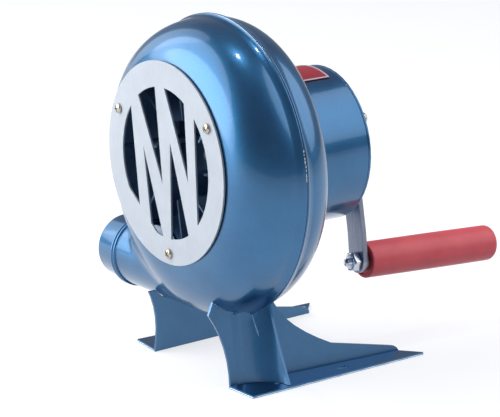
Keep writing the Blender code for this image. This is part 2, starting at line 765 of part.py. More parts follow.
def build_shafts(steel, fan, lay, crank):
    fan_shaft = rod("fan_shaft", BACKPLATE_Y - HUB_LENGTH - WASHER_T - NUT_H - STUD_PROUD,
                    BRIDGE_END_Y - SEAT_GAP, FAN_SHAFT_R)
    finish(fan_shaft, steel, fan)
    lay_shaft = rod("lay_shaft", CAN_FLOOR_Y + 2 * SEAT_GAP, LAY_POCKET_Y - 2 * SEAT_GAP, LAY_SHAFT_R)
    finish(lay_shaft, steel, lay)
    shoulder = ARM_Y - ARM_T / 2 - SEAT_GAP
    end = ARM_Y + ARM_T / 2 + 3 * SEAT_GAP + WASHER_T + NUT_H + STUD_PROUD
    crank_shaft = turned("crank_shaft", [
        (BRIDGE_Y + SEAT_GAP, 0.0),
        (BRIDGE_Y + SEAT_GAP, CRANK_SPIGOT_R),
        (BRIDGE_END_Y + RUN_GAP, CRANK_SPIGOT_R),
        (BRIDGE_END_Y + RUN_GAP, CRANK_SHAFT_R),
        (shoulder, CRANK_SHAFT_R),
        (shoulder, CRANK_SPIGOT_R),
        (end, CRANK_SPIGOT_R),
        (end, 0.0),
    ], SMALL_STEPS)
    finish(crank_shaft, steel, crank)


def build_nut(name, y0, y1, bolt_r, metal, parent):
    outline = [polar(NUT_R, math.pi / 3 * i) for i in range(6)]
    nut = slab(name, outline, y0, y1)
    cut(nut, rod("thread", y0 - WALL, y1 + WALL, bolt_r + SEAT_GAP, SMALL_STEPS))
    finish(nut, metal, parent)


def build_washer(name, y0, bolt_r, metal, parent):
    washer = pipe(name, y0, y0 + WASHER_T, WASHER_R, bolt_r + SEAT_GAP, SMALL_STEPS)
    finish(washer, metal, parent)


# Impeller

def build_impeller(paint, steel, zinc, fan):
    hub_front = BACKPLATE_Y - HUB_LENGTH
    wheel = rod("impeller_wheel", BACKPLATE_Y, BACKPLATE_Y + BACKPLATE_T, IMPELLER_R, ROUND_STEPS)
    lean = math.radians(BLADE_LEAN)
    for angle in ring_angles(BLADES, BLADE_START):
        inner = Vector((BLADE_ROOT_R, 0.0))
        offset = BLADE_ROOT_R * math.sin(lean)
        run = math.sqrt(IMPELLER_R ** 2 - offset ** 2) - BLADE_ROOT_R * math.cos(lean)
        along = Vector((math.cos(lean), math.sin(lean)))
        side = Vector((-along.y, along.x)) * BLADE_T / 2
        outer = inner + along * (run - BLADE_T)
        outline = [inner - side, outer - side, outer + side, inner + side]
        spin = Matrix.Rotation(angle, 2)
        outline = [tuple(spin @ point) for point in outline]
        join(wheel, slab("blade", outline, BLADE_FRONT_Y, BACKPLATE_Y + BACKPLATE_T / 2))
    cut(wheel, rod("hole", BACKPLATE_Y - WALL, BACKPLATE_Y + 2 * WALL, FAN_SHAFT_R + SEAT_GAP, SMALL_STEPS))
    finish(wheel, paint, fan)
    hub = pipe("impeller_hub", hub_front, BACKPLATE_Y - SEAT_GAP, HUB_R, FAN_SHAFT_R + SEAT_GAP, SMALL_STEPS)
    finish(hub, steel, fan)
    washer_front = hub_front - SEAT_GAP - WASHER_T
    build_washer("impeller_washer", washer_front, FAN_SHAFT_R, zinc, fan)
    nut_y = washer_front - SEAT_GAP - NUT_H
    build_nut("impeller_nut", nut_y, nut_y + NUT_H, FAN_SHAFT_R, zinc, fan)


# Crank arm and grip

def build_arm(zinc, parent):
    # A flat bar, hanging down, whose far end has a slight set towards the gearbox.
    half = ARM_WIDTH / 2
    arc = [math.pi * i / ARM_STEPS for i in range(ARM_STEPS + 1)]
    outline = [(half * math.cos(a), half * math.sin(a)) for a in arc]
    outline += [(-half * math.cos(a), -ARM_LENGTH - half * math.sin(a)) for a in arc]
    arm = slab("crank_arm", outline, -ARM_T / 2, ARM_T / 2)
    bend_z = ARM_SET_BACK - ARM_LENGTH
    bm = bmesh.new()
    bm.from_mesh(arm.data)
    geometry = bm.verts[:] + bm.edges[:] + bm.faces[:]
    bmesh.ops.bisect_plane(bm, geom=geometry, plane_co=(0, 0, bend_z), plane_no=(0, 0, 1))
    below = [vert for vert in bm.verts if vert.co.z < bend_z - SEAT_GAP]
    turn = Matrix.Rotation(-math.radians(ARM_SET), 3, "X")
    bmesh.ops.rotate(bm, cent=(0, 0, bend_z), matrix=turn, verts=below)
    bm.to_mesh(arm.data)
    bm.free()
    cut(arm, rod("hub_hole", -ARM_T, ARM_T, CRANK_SPIGOT_R + SEAT_GAP))
    hole = rod("grip_hole", -ARM_T, ARM_T, GRIP_BOLT_R + SEAT_GAP)
    hole.data.transform(arm_end())
    cut(arm, hole)
    finish(arm, zinc, parent)


def arm_end():
    # Place of the grip's axis in the arm's own frame.
    turn = Matrix.Rotation(-math.radians(ARM_SET), 4, "X")
    bend = Matrix.Translation((0, 0, ARM_SET_BACK - ARM_LENGTH))
    return bend @ turn @ Matrix.Translation((0, 0, -ARM_SET_BACK))


def build_arm_fasteners(zinc, arm_frame):
    washer_y = ARM_T / 2 + SEAT_GAP
    build_washer("crank_washer", washer_y, CRANK_SPIGOT_R, zinc, arm_frame)
    nut_y = washer_y + WASHER_T + SEAT_GAP
    build_nut("crank_nut", nut_y, nut_y + NUT_H, CRANK_SPIGOT_R, zinc, arm_frame)


def build_grip(red, zinc, steel, parent):
    washer_y = ARM_T / 2 + SEAT_GAP
    start = washer_y + WASHER_T + RUN_GAP
    end = start + GRIP_LENGTH
    head_y = end - GRIP_HEAD_DEEP
    nut_y = -ARM_T / 2 - SEAT_GAP - NUT_H
    build_washer("grip_washer", washer_y, GRIP_BOLT_R, zinc, parent)
    build_nut("grip_nut", nut_y, nut_y + NUT_H, GRIP_BOLT_R, zinc, parent)
    bolt = turned("grip_bolt", [
        (nut_y - STUD_PROUD, 0.0),
        (nut_y - STUD_PROUD, GRIP_BOLT_R),
        (head_y, GRIP_BOLT_R),
        (head_y, GRIP_HEAD_R),
        (head_y + GRIP_HEAD_H, GRIP_HEAD_R),
        (head_y + GRIP_HEAD_H, 0.0),
    ], SMALL_STEPS)
    slot_floor = head_y + GRIP_HEAD_H - RECESS_DEPTH
    slot_low = (-2 * GRIP_HEAD_R, slot_floor, -RECESS_W / 2)
    cut(bolt, block("slot", slot_low, (2 * GRIP_HEAD_R, head_y + 2 * GRIP_HEAD_H, RECESS_W / 2)))
    finish(bolt, steel, parent)
    sleeve = pipe("grip_sleeve", start, head_y - SEAT_GAP, GRIP_SLEEVE_R, GRIP_SLEEVE_BORE_R, SMALL_STEPS)
    finish(sleeve, steel, parent)
    bore = GRIP_SLEEVE_R + RUN_GAP
    pocket = GRIP_HEAD_R + GUIDE_GAP
    profile = [(start, bore), (start, GRIP_R - GRIP_ROUND / 2), (start + GRIP_ROUND / 2, GRIP_R)]
    for i in range(CORNER_STEPS + 1):
        angle = math.pi / 2 * i / CORNER_STEPS
        profile.append((end - GRIP_ROUND + GRIP_ROUND * math.sin(angle),
                        GRIP_R - GRIP_ROUND + GRIP_ROUND * math.cos(angle)))
    profile += [(end, pocket), (head_y - RUN_GAP, pocket), (head_y - RUN_GAP, bore)]
    grip = turned("grip", profile, ROUND_STEPS // 2, tube=True)
    finish(grip, red, parent)


# Legs

def arc_through(start, middle, end):
    # Points of a smooth bow from start to end that passes through middle.
    points = []
    pull = [2 * m - (s + e) / 2 for s, m, e in zip(start, middle, end)]
    for i in range(BOW_STEPS + 1):
        t = i / BOW_STEPS
        point = [(1 - t) ** 2 * s + 2 * t * (1 - t) * p + t * t * e for s, p, e in zip(start, pull, end)]
        points.append(tuple(point))
    return points


def leg_outline():
    # Side view of the leg's panel as (y, height over the ground).
    waist = (LEG_FRONT_Y - LEG_WAIST_FLARE, LEG_WAIST_H)
    shoulder = (LEG_FRONT_Y - LEG_SHOULDER_FLARE, LEG_SHOULDER_H)
    inside = AXIS_HEIGHT - TONGUE_R + LEG_SHOULDER_FLARE
    fin_top = (FIN_TOP_Y, LEG_SHOULDER_H)
    saddle = (FIN_SADDLE_Y, FIN_SADDLE_H)
    fin_end = (LEG_REAR_Y - FIN_END_H, FIN_END_H)
    bow_h = FIN_SADDLE_H + (LEG_SHOULDER_H - FIN_SADDLE_H) * FIN_BOW
    bow = ((FIN_TOP_Y * 2 + FIN_SADDLE_Y) / 3, bow_h)
    points = arc_through((LEG_FRONT_Y, 0.0), waist, shoulder)
    points += [(LEG_FRONT_Y, inside), (FIN_TOP_Y - LEG_SHOULDER_FLARE, inside)]
    points += arc_through(fin_top, bow, saddle)
    points += [fin_end]
    for i in range(1, CORNER_STEPS + 1):
        angle = math.pi / 2 * i / CORNER_STEPS
        reach = FIN_END_H * math.sin(angle)
        rise = FIN_END_H * math.cos(angle)
        points.append((LEG_REAR_Y - FIN_END_H + reach, rise))
    return points


def leg_lean(y, height):
    # Distance of the panel's outer face from the middle plane.
    toe = math.tan(math.radians(LEG_TOE)) * (y - LEG_FRONT_Y)
    return LEG_HALF_SPAN + toe - math.tan(math.radians(LEG_LEAN)) * height


def leg_panel(name, outline):
    bm = bmesh.new()
    outer = [bm.verts.new((leg_lean(y, h), y, GROUND_Z + h)) for y, h in outline]
    inner = [bm.verts.new((leg_lean(y, h) - LEG_T, y, GROUND_Z + h)) for y, h in outline]
    bmesh.ops.triangulate(bm, faces=[bm.faces.new(outer), bm.faces.new(inner)])
    bridge_rings(bm, outer, inner)
    return mesh_object(name, bm)


def upright(name, outline, z0, z1):
    # Extrudes an (x, y) outline upwards.
    bm = bmesh.new()
    low = [bm.verts.new((px, py, z0)) for px, py in outline]
    high = [bm.verts.new((px, py, z1)) for px, py in outline]
    bm.faces.new(low)
    bm.faces.new(high)
    bridge_rings(bm, low, high)
    return mesh_object(name, bm)


def foot_outline():
    inset = LEG_T / 2
    front = leg_lean(LEG_FRONT_Y, 0.0)
    rear = leg_lean(LEG_REAR_Y, 0.0)
    return [
        (front - inset, LEG_FRONT_Y),
        (front + FLANGE_FRONT_W, LEG_FRONT_Y + LEG_T),
        (rear + FLANGE_REAR_W, LEG_REAR_Y + FLANGE_REAR_REACH),
        (rear - inset, LEG_REAR_Y - inset),
    ]


def flange_width(y):
    share = (y - LEG_FRONT_Y) / (LEG_REAR_Y - LEG_FRONT_Y)
    return FLANGE_FRONT_W + (FLANGE_REAR_W - FLANGE_FRONT_W) * share


def stadium(x, y, radius, length):
    half = max(0.0, length / 2 - radius)
    points = []
    for i in range(SMALL_STEPS):
        angle = 2 * math.pi * (i + 0.5) / SMALL_STEPS
        shift = half if math.sin(angle) > 0 else -half
        points.append((x + radius * math.cos(angle), y + shift + radius * math.sin(angle)))
    return points


def mirror_to(side, obj):
    # Side is 1 at +X and -1 at -X. The mesh is turned over to keep its faces outward.
    if side < 0:
        obj.data.transform(Matrix.Scale(-1, 4, (1, 0, 0)))
        obj.data.flip_normals()


def spout_front_space():
    # Room in front of the spout, where the left leg stays low.
    reach = BOTTOM_R + AXIS_HEIGHT
    return block("spout_front", (-reach, -reach, OUTLET_Z - LEFT_LEG_TRIM), (reach, OUTLET_Y, reach))


def make_leg(name, side):
    leg = leg_panel(name, leg_outline())
    join(leg, upright("flange", foot_outline(), GROUND_Z, GROUND_Z + LEG_T))
    low = GROUND_Z - LEG_T
    high = GROUND_Z + 2 * LEG_T
    holes = [(FOOT_HOLE_Y, 2 * FOOT_HOLE_R), (FOOT_SLOT_Y, FOOT_SLOT_LENGTH)]
    for y, length in holes:
        x = leg_lean(y, 0.0) + flange_width(y) / 2
        cut(leg, upright("hole", stadium(x, y, FOOT_HOLE_R, length), low, high))
    mirror_to(side, leg)
    keep_out(leg)
    if side < 0:
        cut(leg, spout_front_space())
    return leg


def gusset_section(reach, height):
    # Plan view of the web: it leaves the panel along its face and bows out to its full reach.
    back, front = [], []
    for i in range(BOW_STEPS + 1):
        angle = math.pi / 2 * i / BOW_STEPS
        along, across = math.sin(angle), math.cos(angle)
        y = GUSSET_Y + GUSSET_T / 2 - GUSSET_BOW * (1 - along)
        x = leg_lean(y, height) + SEAT_GAP + (reach - SEAT_GAP) * (1 - across)
        thickness = GUSSET_EDGE_T + (GUSSET_T - GUSSET_EDGE_T) * along
        back.append((x, y, GROUND_Z + height))
        front.append((x + thickness * across, y - thickness * along, GROUND_Z + height))
    return back + front[::-1]


def make_gusset(name, side):
    # A web on the leg's outer side, between the casing and the foot.
    foot = LEG_T + SEAT_GAP
    top = AXIS_HEIGHT - TONGUE_R
    out = flange_width(GUSSET_Y) - LEG_T
    shoulder = top * GUSSET_SHOULDER
    middle = ((out + GUSSET_TOP_W) / 2 - GUSSET_WAIST, (foot + shoulder) / 2)
    edge = arc_through((out, foot), middle, (GUSSET_TOP_W, shoulder))
    edge.append((GUSSET_TOP_W, top))
    bm = bmesh.new()
    rings = []
    for reach, height in edge:
        rings.append([bm.verts.new(point) for point in gusset_section(reach, height)])
    bmesh.ops.triangulate(bm, faces=[bm.faces.new(rings[0]), bm.faces.new(rings[-1])])
    for low, high in zip(rings, rings[1:]):
        bridge_rings(bm, low, high)
    gusset = mesh_object(name, bm)
    mirror_to(side, gusset)
    keep_out(gusset)
    return gusset


def build_legs(paint, parent):
    for word, side in (("right", 1), ("left", -1)):
        finish(make_leg(word + "_leg", side), paint, parent)
        finish(make_gusset(word + "_gusset", side), paint, parent)


def set_down(root):
    # Moves the whole assembly so that the middle of its footprint is the origin.
    depsgraph = bpy.context.evaluated_depsgraph_get()
    corners = []
    for obj in bpy.data.objects:
        if obj.type == "MESH":
            shaped = obj.evaluated_get(depsgraph)
            corners += [shaped.matrix_world @ vert.co for vert in shaped.data.vertices]
    low = [min(point[i] for point in corners) for i in range(3)]
    high = [max(point[i] for point in corners) for i in range(3)]
    root.location = (-(low[0] + high[0]) / 2, -(low[1] + high[1]) / 2, -low[2])


def main():
    clear_scene()
    blue = make_material("blue_paint", (0.05, 0.16, 0.32), 0.35, 0.4)
    pale = make_material("cover_sheet", (0.72, 0.76, 0.80), 0.45, 0.7)
    zinc = make_material("zinc_plate", (0.45, 0.46, 0.50), 0.35, 1.0)
    brassy = make_material("yellow_zinc", (0.60, 0.55, 0.42), 0.3, 1.0)
    steel = make_material("turned_steel", (0.40, 0.40, 0.41), 0.35, 1.0)
    iron = make_material("cast_bridge", (0.10, 0.10, 0.11), 0.6, 0.8)
    bronze = make_material("bush_bronze", (0.50, 0.32, 0.14), 0.45, 1.0)
    dark = make_material("impeller_paint", (0.02, 0.03, 0.06), 0.5, 0.2)
    red = make_material("grip_plastic", (0.50, 0.05, 0.06), 0.4, 0.0)
    enamel = make_material("label_enamel", (0.45, 0.03, 0.05), 0.35, 0.0)

    root = make_empty("blower", None, (0.0, 0.0, 0.0))
    fan = make_empty("fan_axis", root, (FAN_X, 0.0, FAN_Z))
    lay = make_empty("lay_axis", root, (LAY_X, 0.0, LAY_Z))
    crank = make_empty("crank_axis", root, (CRANK_X, 0.0, CRANK_Z))
    arm_frame = make_empty("arm_frame", crank, (0.0, ARM_Y, 0.0), (0.0, -math.radians(ARM_REST), 0.0))
    end = arm_end()
    grip_axis = make_empty("grip_axis", arm_frame, end.to_translation(), end.to_euler())

    build_front_shell(blue, root)
    build_rear_shell(blue, root)
    build_collar(blue, root)
    build_cover(pale, root)
    build_cover_screws(brassy, root)
    build_can(blue, root)
    build_end_plate(blue, root)
    build_gearbox_screws(zinc, root)
    build_bridge(iron, root)
    build_bushes(bronze, root)
    build_label(enamel, root)
    build_gear_train(steel, fan, lay, crank)
    build_shafts(steel, fan, lay, crank)
    build_impeller(dark, steel, zinc, fan)
    build_arm(zinc, arm_frame)
    build_arm_fasteners(zinc, arm_frame)
    build_grip(red, zinc, steel, grip_axis)
    build_legs(blue, root)
    bpy.context.view_layer.update()
    set_down(root)
    bpy.context.view_layer.update()


main()
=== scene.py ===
import json
import math
import random

import bmesh
import bpy
import numpy as np
from mathutils import Matrix, Vector
from mathutils.bvhtree import BVHTree


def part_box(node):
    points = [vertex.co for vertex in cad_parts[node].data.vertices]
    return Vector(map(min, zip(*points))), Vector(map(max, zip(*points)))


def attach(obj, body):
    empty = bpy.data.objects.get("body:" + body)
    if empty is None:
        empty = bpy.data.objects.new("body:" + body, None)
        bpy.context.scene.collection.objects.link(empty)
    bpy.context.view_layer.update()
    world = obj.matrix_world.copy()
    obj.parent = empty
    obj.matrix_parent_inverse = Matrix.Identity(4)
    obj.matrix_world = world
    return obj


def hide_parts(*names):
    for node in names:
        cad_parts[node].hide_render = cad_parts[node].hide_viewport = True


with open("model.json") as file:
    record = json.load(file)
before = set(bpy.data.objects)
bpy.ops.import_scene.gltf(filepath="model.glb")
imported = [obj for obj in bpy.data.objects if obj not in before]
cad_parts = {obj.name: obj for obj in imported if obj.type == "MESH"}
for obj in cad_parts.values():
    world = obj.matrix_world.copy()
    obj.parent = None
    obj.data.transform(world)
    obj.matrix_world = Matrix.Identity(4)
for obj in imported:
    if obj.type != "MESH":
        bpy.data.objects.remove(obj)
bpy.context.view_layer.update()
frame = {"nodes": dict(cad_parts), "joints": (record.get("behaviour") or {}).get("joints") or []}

nodes = frame["nodes"]
jointPlace = {joint["name"]: joint for joint in frame["joints"]}
print("frame loaded,", len(nodes), "nodes")

# Small tools


def addObject(name, data):
    thing = bpy.data.objects.new(name, data)
    bpy.context.scene.collection.objects.link(thing)
    return thing


def linear(hexColour):  # sRGB hex to linear RGBA
    parts = [int(hexColour[i:i + 2], 16) / 255 for i in (1, 3, 5)]
    return tuple(c / 12.92 if c <= 0.04045 else ((c + 0.055) / 1.055) ** 2.4 for c in parts) + (1.0,)


def addNode(tree, kind, settings=None, links=None):
    node = tree.nodes.new(kind)
    for key, value in (settings or {}).items():
        if isinstance(key, str) and hasattr(node, key):
            setattr(node, key, value)
        else:
            node.inputs[key].default_value = value
    for socket, source in (links or {}).items():
        tree.links.new(source, node.inputs[socket])
    return node


def newMaterial(name, settings):  # settings go straight on the shader's sockets
    material = bpy.data.materials.new(name)
    material.use_nodes = True
    tree = material.node_tree
    shader = tree.nodes["Principled BSDF"]
    for key, value in settings.items():
        shader.inputs[key].default_value = value
    place = addNode(tree, "ShaderNodeTexCoord").outputs["Object"]
    return material, tree, shader, place


def ramp(tree, source, stops):  # colour ramp between (position, hex) stops
    node = addNode(tree, "ShaderNodeValToRGB", links={"Fac": source})
    elements = node.color_ramp.elements
    while len(elements) < len(stops):
        elements.new(0.5)
    for element, (position, colour) in zip(elements, stops):
        element.position = position
        element.color = linear(colour)
    return node.outputs["Color"]


def perMetre(millimetres):  # texture scale for a feature of this size
    return 1000.0 / millimetres


def noise(tree, place, millimetres, detail):  # soft spots of this size
    settings = {"Scale": perMetre(millimetres), "Detail": detail}
    return addNode(tree, "ShaderNodeTexNoise", settings, {"Vector": place}).outputs["Fac"]


def spreadRoughness(tree, shader, source, low, high):  # duller where the source is high
    spread = addNode(tree, "ShaderNodeMapRange", {"To Min": low, "To Max": high}, {"Value": source})
    tree.links.new(spread.outputs[0], shader.inputs["Roughness"])


# Materials


def sprayedMetallicPaint(name, flake, deep, rough):
    # Metallic stove paint sprayed on pressed steel: glinting flake under a thin clear gloss,
    # a faint orange peel, and a cloudiness where the coat is thicker.
    material, tree, shader, place = newMaterial(name, {
        "Metallic": 0.9, "Coat Weight": 0.8, "Coat Roughness": 0.1, "Coat IOR": 1.55})
    # flake drawn at 0.6 mm, because real flake is too fine to show
    cells = addNode(tree, "ShaderNodeTexVoronoi", {"Scale": perMetre(0.6)}, {"Vector": place})
    clouds = noise(tree, place, 28, 3.0)
    peel = noise(tree, place, 2.4, 1.0)
    glint = addNode(tree, "ShaderNodeSeparateColor", links={"Color": cells.outputs["Color"]})
    share = addNode(tree, "ShaderNodeMath", {"operation": "MULTIPLY", 1: 0.2},
                    {0: glint.outputs["Red"]})
    share = addNode(tree, "ShaderNodeMath", {"operation": "MULTIPLY_ADD", 1: 0.75},
                    {0: clouds, 2: share.outputs[0]})
    colour = ramp(tree, share.outputs[0], [(0.15, deep), (0.85, flake)])
    tree.links.new(colour, shader.inputs["Base Color"])
    spreadRoughness(tree, shader, clouds, rough - 0.05, rough + 0.06)
    flakeBump = addNode(tree, "ShaderNodeBump", {"Strength": 0.05, "Distance": 0.0003},
                        {"Height": glint.outputs["Green"]})
    peelBump = addNode(tree, "ShaderNodeBump", {"Strength": 0.06, "Distance": 0.0003},
                       {"Height": peel, "Normal": flakeBump.outputs[0]})
    tree.links.new(peelBump.outputs[0], shader.inputs["Normal"])
    coatBump = addNode(tree, "ShaderNodeBump", {"Strength": 0.04, "Distance": 0.0003}, {"Height": peel})
    tree.links.new(coatBump.outputs[0], shader.inputs["Coat Normal"])
    return material


def rolledSheet(name, light, dark, rough, metallic, grainLength):
    # Rolled and plated sheet: fine lines along the rolling direction and faint cloudy stains.
    material, tree, shader, place = newMaterial(name, {"Metallic": metallic})
    stretch = addNode(tree, "ShaderNodeMapping", {"Scale": (1.0, 1.0, grainLength)}, {"Vector": place})
    grain = noise(tree, stretch.outputs[0], 1.4, 4.0)
    clouds = noise(tree, place, 18, 3.0)
    blend = addNode(tree, "ShaderNodeMath", {"operation": "MULTIPLY_ADD", 1: 0.4}, {0: grain})
    lift = addNode(tree, "ShaderNodeMath", {"operation": "MULTIPLY", 1: 0.6}, {0: clouds})
    tree.links.new(lift.outputs[0], blend.inputs[2])
    colour = ramp(tree, blend.outputs[0], [(0.3, dark), (0.7, light)])
    tree.links.new(colour, shader.inputs["Base Color"])
    spreadRoughness(tree, shader, clouds, rough - 0.06, rough + 0.08)
    bump = addNode(tree, "ShaderNodeBump", {"Strength": 0.08, "Distance": 0.0002}, {"Height": grain})
    tree.links.new(bump.outputs[0], shader.inputs["Normal"])
    return material


def smoothCoat(name, light, dark, rough):
    # Moulded vinyl, and enamel or primer that dried flat: even colour, a fine matt grain
    # and a soft broad sheen.
    material, tree, shader, place = newMaterial(name, {"Specular IOR Level": 0.45})
    clouds = noise(tree, place, 22, 4.0)
    grain = noise(tree, place, 0.8, 2.0)
    colour = ramp(tree, clouds, [(0.3, dark), (0.7, light)])
    tree.links.new(colour, shader.inputs["Base Color"])
    spreadRoughness(tree, shader, clouds, rough - 0.05, rough + 0.07)
    bump = addNode(tree, "ShaderNodeBump", {"Strength": 0.10, "Distance": 0.0002}, {"Height": grain})
    tree.links.new(bump.outputs[0], shader.inputs["Normal"])
    return material


# what each finish gives the eye stands beside it
paint = sprayedMetallicPaint("metallicBlueStovePaint", "#2F6F9B", "#235A86", 0.32)
coverSheet = rolledSheet("satinZincSheet", "#BFC6CD", "#B2B9C1", 0.5, 0.15, 0.2)  # pale, faint upright lines
zincBar = rolledSheet("brightZincPlate", "#A4A8B6", "#868B9B", 0.33, 1.0, 0.08)  # bluish grey, lines along it
yellowZinc = rolledSheet("palePassivatedZinc", "#D2CBBE", "#A89E8C", 0.24, 1.0, 1.0)  # warm, hard glints
plainZinc = rolledSheet("barrelPlatedZinc", "#DCE0E8", "#B4BAC6", 0.2, 1.0, 1.0)  # bright and hard edged
turnedSteel = rolledSheet("oiledTurnedSteel", "#A2A3A6", "#7C7D80", 0.34, 1.0, 1.0)  # dull, oily sheen
castIron = rolledSheet("rawCastIron", "#5A5A5E", "#444448", 0.6, 0.8, 1.0)  # dark and matt
bronze = rolledSheet("sinteredBronze", "#B98D58", "#94703F", 0.45, 1.0, 1.0)  # brown gold, soft sheen
redVinyl = smoothCoat("mouldedRedVinyl", "#F0636A", "#E45860", 0.42)  # warm red, broad sheen
redEnamel = smoothCoat("printedRedEnamel", "#B3353F", "#A42C36", 0.36)  # deep even red
silverPrint = rolledSheet("printedSilverEnamel", "#E2D3D8", "#CDBFC6", 0.5, 0.3, 1.0)  # pale pinkish silver
impellerPaint = smoothCoat("dippedBlueEnamel", "#6A88AC", "#587599", 0.6)  # flat mid blue
undercoatAndRunHighlight = smoothCoat("blueUndercoatAndRunHighlight", "#9CC0DC", "#88AFCE", 0.5)  # pale flat blue inside the casing; on the paint run, a painted highlight
paleEdgeSteel = rolledSheet("paleEdgeLineSteel", "#C4D8E8", "#A2B8CC", 0.34, 1.0, 1.0)  # painted highlight line on the lip crest; pale line on the foot rims
palePrimer = smoothCoat("bakedPalePrimer", "#EEF1F4", "#D8DDE2", 0.5)  # near white in the chips
print("materials made")

# Meshes

fanLow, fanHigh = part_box("fan_shaft")
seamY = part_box("front_shell")[1].y + 0.00015  # half the seam's gap
fanAxis = Vector(((fanLow.x + fanHigh.x) / 2, seamY, (fanLow.z + fanHigh.z) / 2))
crease = math.radians(38)  # edges sharper than this stay sharp
tiny = 1e-9  # keeps a divisor off zero


def faceOutward(mesh):
    bm = bmesh.new()
    bm.from_mesh(mesh)
    bmesh.ops.recalc_face_normals(bm, faces=bm.faces)
    bm.to_mesh(mesh)
    bm.free()


def newPiece(name, vertices, faces, material, body, slot, replaced=()):
    mesh = bpy.data.meshes.new(name)
    mesh.from_pydata([tuple(v) for v in vertices], [], faces)
    mesh.validate()
    faceOutward(mesh)
    piece = addObject(name, mesh)
    mesh.materials.append(material)
    mesh.shade_smooth()
    mesh.set_sharp_from_angle(angle=crease)
    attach(piece, body)
    if replaced:
        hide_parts(*replaced)
    return piece


def lathe(profile, place, steps=72, closed=True):  # (along, radius) points turned about the place's Y
    vertices, rings, faces = [], [], []
    for along, radius in profile:
        count = 1 if radius == 0 else steps
        rings.append(range(len(vertices), len(vertices) + count))
        for i in range(count):
            a = 2 * math.pi * i / steps
            vertices.append(place @ Vector((radius * math.cos(a), along, radius * math.sin(a))))
    pairs = list(zip(rings, rings[1:]))
    if closed:
        pairs.append((rings[-1], rings[0]))
    for first, second in pairs:
        for i in range(steps):
            loop = [first[i % len(first)], first[(i + 1) % len(first)],
                    second[(i + 1) % len(second)], second[i % len(second)]]
            face = [v for k, v in enumerate(loop) if v not in loop[:k]]
            if len(face) > 2:
                faces.append(face)
    return vertices, faces


def rounded(start, corner, end, radius, steps=4):  # fillet points where two profile lines meet
    a, c, b = Vector(start), Vector(corner), Vector(end)
    first, last = c + (a - c).normalized() * radius, c + (b - c).normalized() * radius
    return [tuple(first.lerp(c, t).lerp(c.lerp(last, t), t)) for t in (i / steps for i in range(steps + 1))]


def evaluated(piece):
    return bpy.data.meshes.new_from_object(piece.evaluated_get(bpy.context.evaluated_depsgraph_get()))


def cutWith(piece, vertices, faces, operation="DIFFERENCE"):
    mesh = bpy.data.meshes.new("cutter")
    mesh.from_pydata([tuple(v) for v in vertices], [], faces)
    faceOutward(mesh)
    cutter = addObject("cutter", mesh)
    modifier = piece.modifiers.new("cut", "BOOLEAN")
    modifier.operation = operation
    modifier.object = cutter
    modifier.solver = "EXACT"
    mesh = evaluated(piece)
    piece.modifiers.clear()
    piece.data = mesh
    mesh.set_sharp_from_angle(angle=crease)
    bpy.data.objects.remove(cutter)


def boxCorners(low, high, place):
    vertices = [place @ Vector((x, y, z))
                for x in (low[0], high[0]) for y in (low[1], high[1]) for z in (low[2], high[2])]
    return vertices, [(0, 1, 3, 2), (4, 6, 7, 5), (0, 4, 5, 1), (2, 3, 7, 6), (0, 2, 6, 4), (1, 5, 7, 3)]


# Casing halves, with the spout blended into the dome

casing = {"tongue": 0.0915, "bottom": 0.1165, "growing": 0.75, "wall": 0.0015, "gap": 0.0003,
          "front": {"depth": 0.0423, "face": 0.066, "power": 2.25, "side": -1},
          "rear": {"depth": 0.030, "shoulder": 0.020, "power": 2.0, "side": 1},
          "intake": 0.0575, "voxel": 0.0019, "blend": 0.014,
          "past": 0.006, "settle": 7, "stride": 0.004, "faceDepth": 0.001, "intakeTrim": 0.0005,
          "leastBlend": 1e-6, "leastSlope": 0.05}
outlet = {"pivot": Vector((0.0, -0.006, -0.0907)), "dip": 2.0, "spout": 0.0252, "collar": 0.0234,
          "bore": 0.0222, "spoutEnd": 0.094, "collarEnd": 0.114, "collarLength": 0.037,
          "bead": 0.0012, "inset": -0.004, "sides": 48, "outerRound": 0.0005, "innerRound": 0.0004}
outletTurn = Matrix.Rotation(-math.radians(outlet["dip"]), 3, "Y")
outletPlace = (Matrix.Translation(fanAxis + outlet["pivot"]) @ outletTurn.to_4x4()
               @ Matrix.Rotation(math.pi / 2, 4, "Z"))


def voluteRadius(turn):
    grow = casing["tongue"] + (casing["bottom"] - casing["tongue"]) * turn / casing["growing"]
    back = np.clip((turn - casing["growing"]) / (1 - casing["growing"]), 0, 1)
    ease = back * back * (3 - 2 * back)
    home = casing["bottom"] + (casing["tongue"] - casing["bottom"]) * ease
    return np.where(turn <= casing["growing"], grow, home)


def domeField(points, half):
    radius = np.hypot(points[:, 0], points[:, 2])
    turn = ((math.pi - np.arctan2(points[:, 2], points[:, 0])) / (2 * math.pi)) % 1.0
    volute = voluteRadius(turn)
    face = half["face"] if "face" in half else volute - half["shoulder"]
    out = np.maximum(radius - face, 0) / (volute - face)
    deep = np.maximum(points[:, 1] * half["side"], 0) / half["depth"]
    return ((out ** half["power"] + deep ** half["power"]) ** (1 / half["power"]) - 1) * half["depth"]


def spoutField(points):
    local = (points - np.array(outlet["pivot"])) @ np.array(outletTurn)
    inward = np.maximum(local[:, 0] - outlet["inset"], 0)  # round end hidden in the dome
    return np.sqrt(inward ** 2 + local[:, 1] ** 2 + local[:, 2] ** 2) - outlet["spout"]


def slope(field, points):  # numeric gradient
    step = 1e-5
    columns = []
    for axis in range(3):
        shift = np.zeros(3)
        shift[axis] = step
        columns.append((field(points + shift) - field(points - shift)) / (2 * step))
    return np.stack(columns, 1)


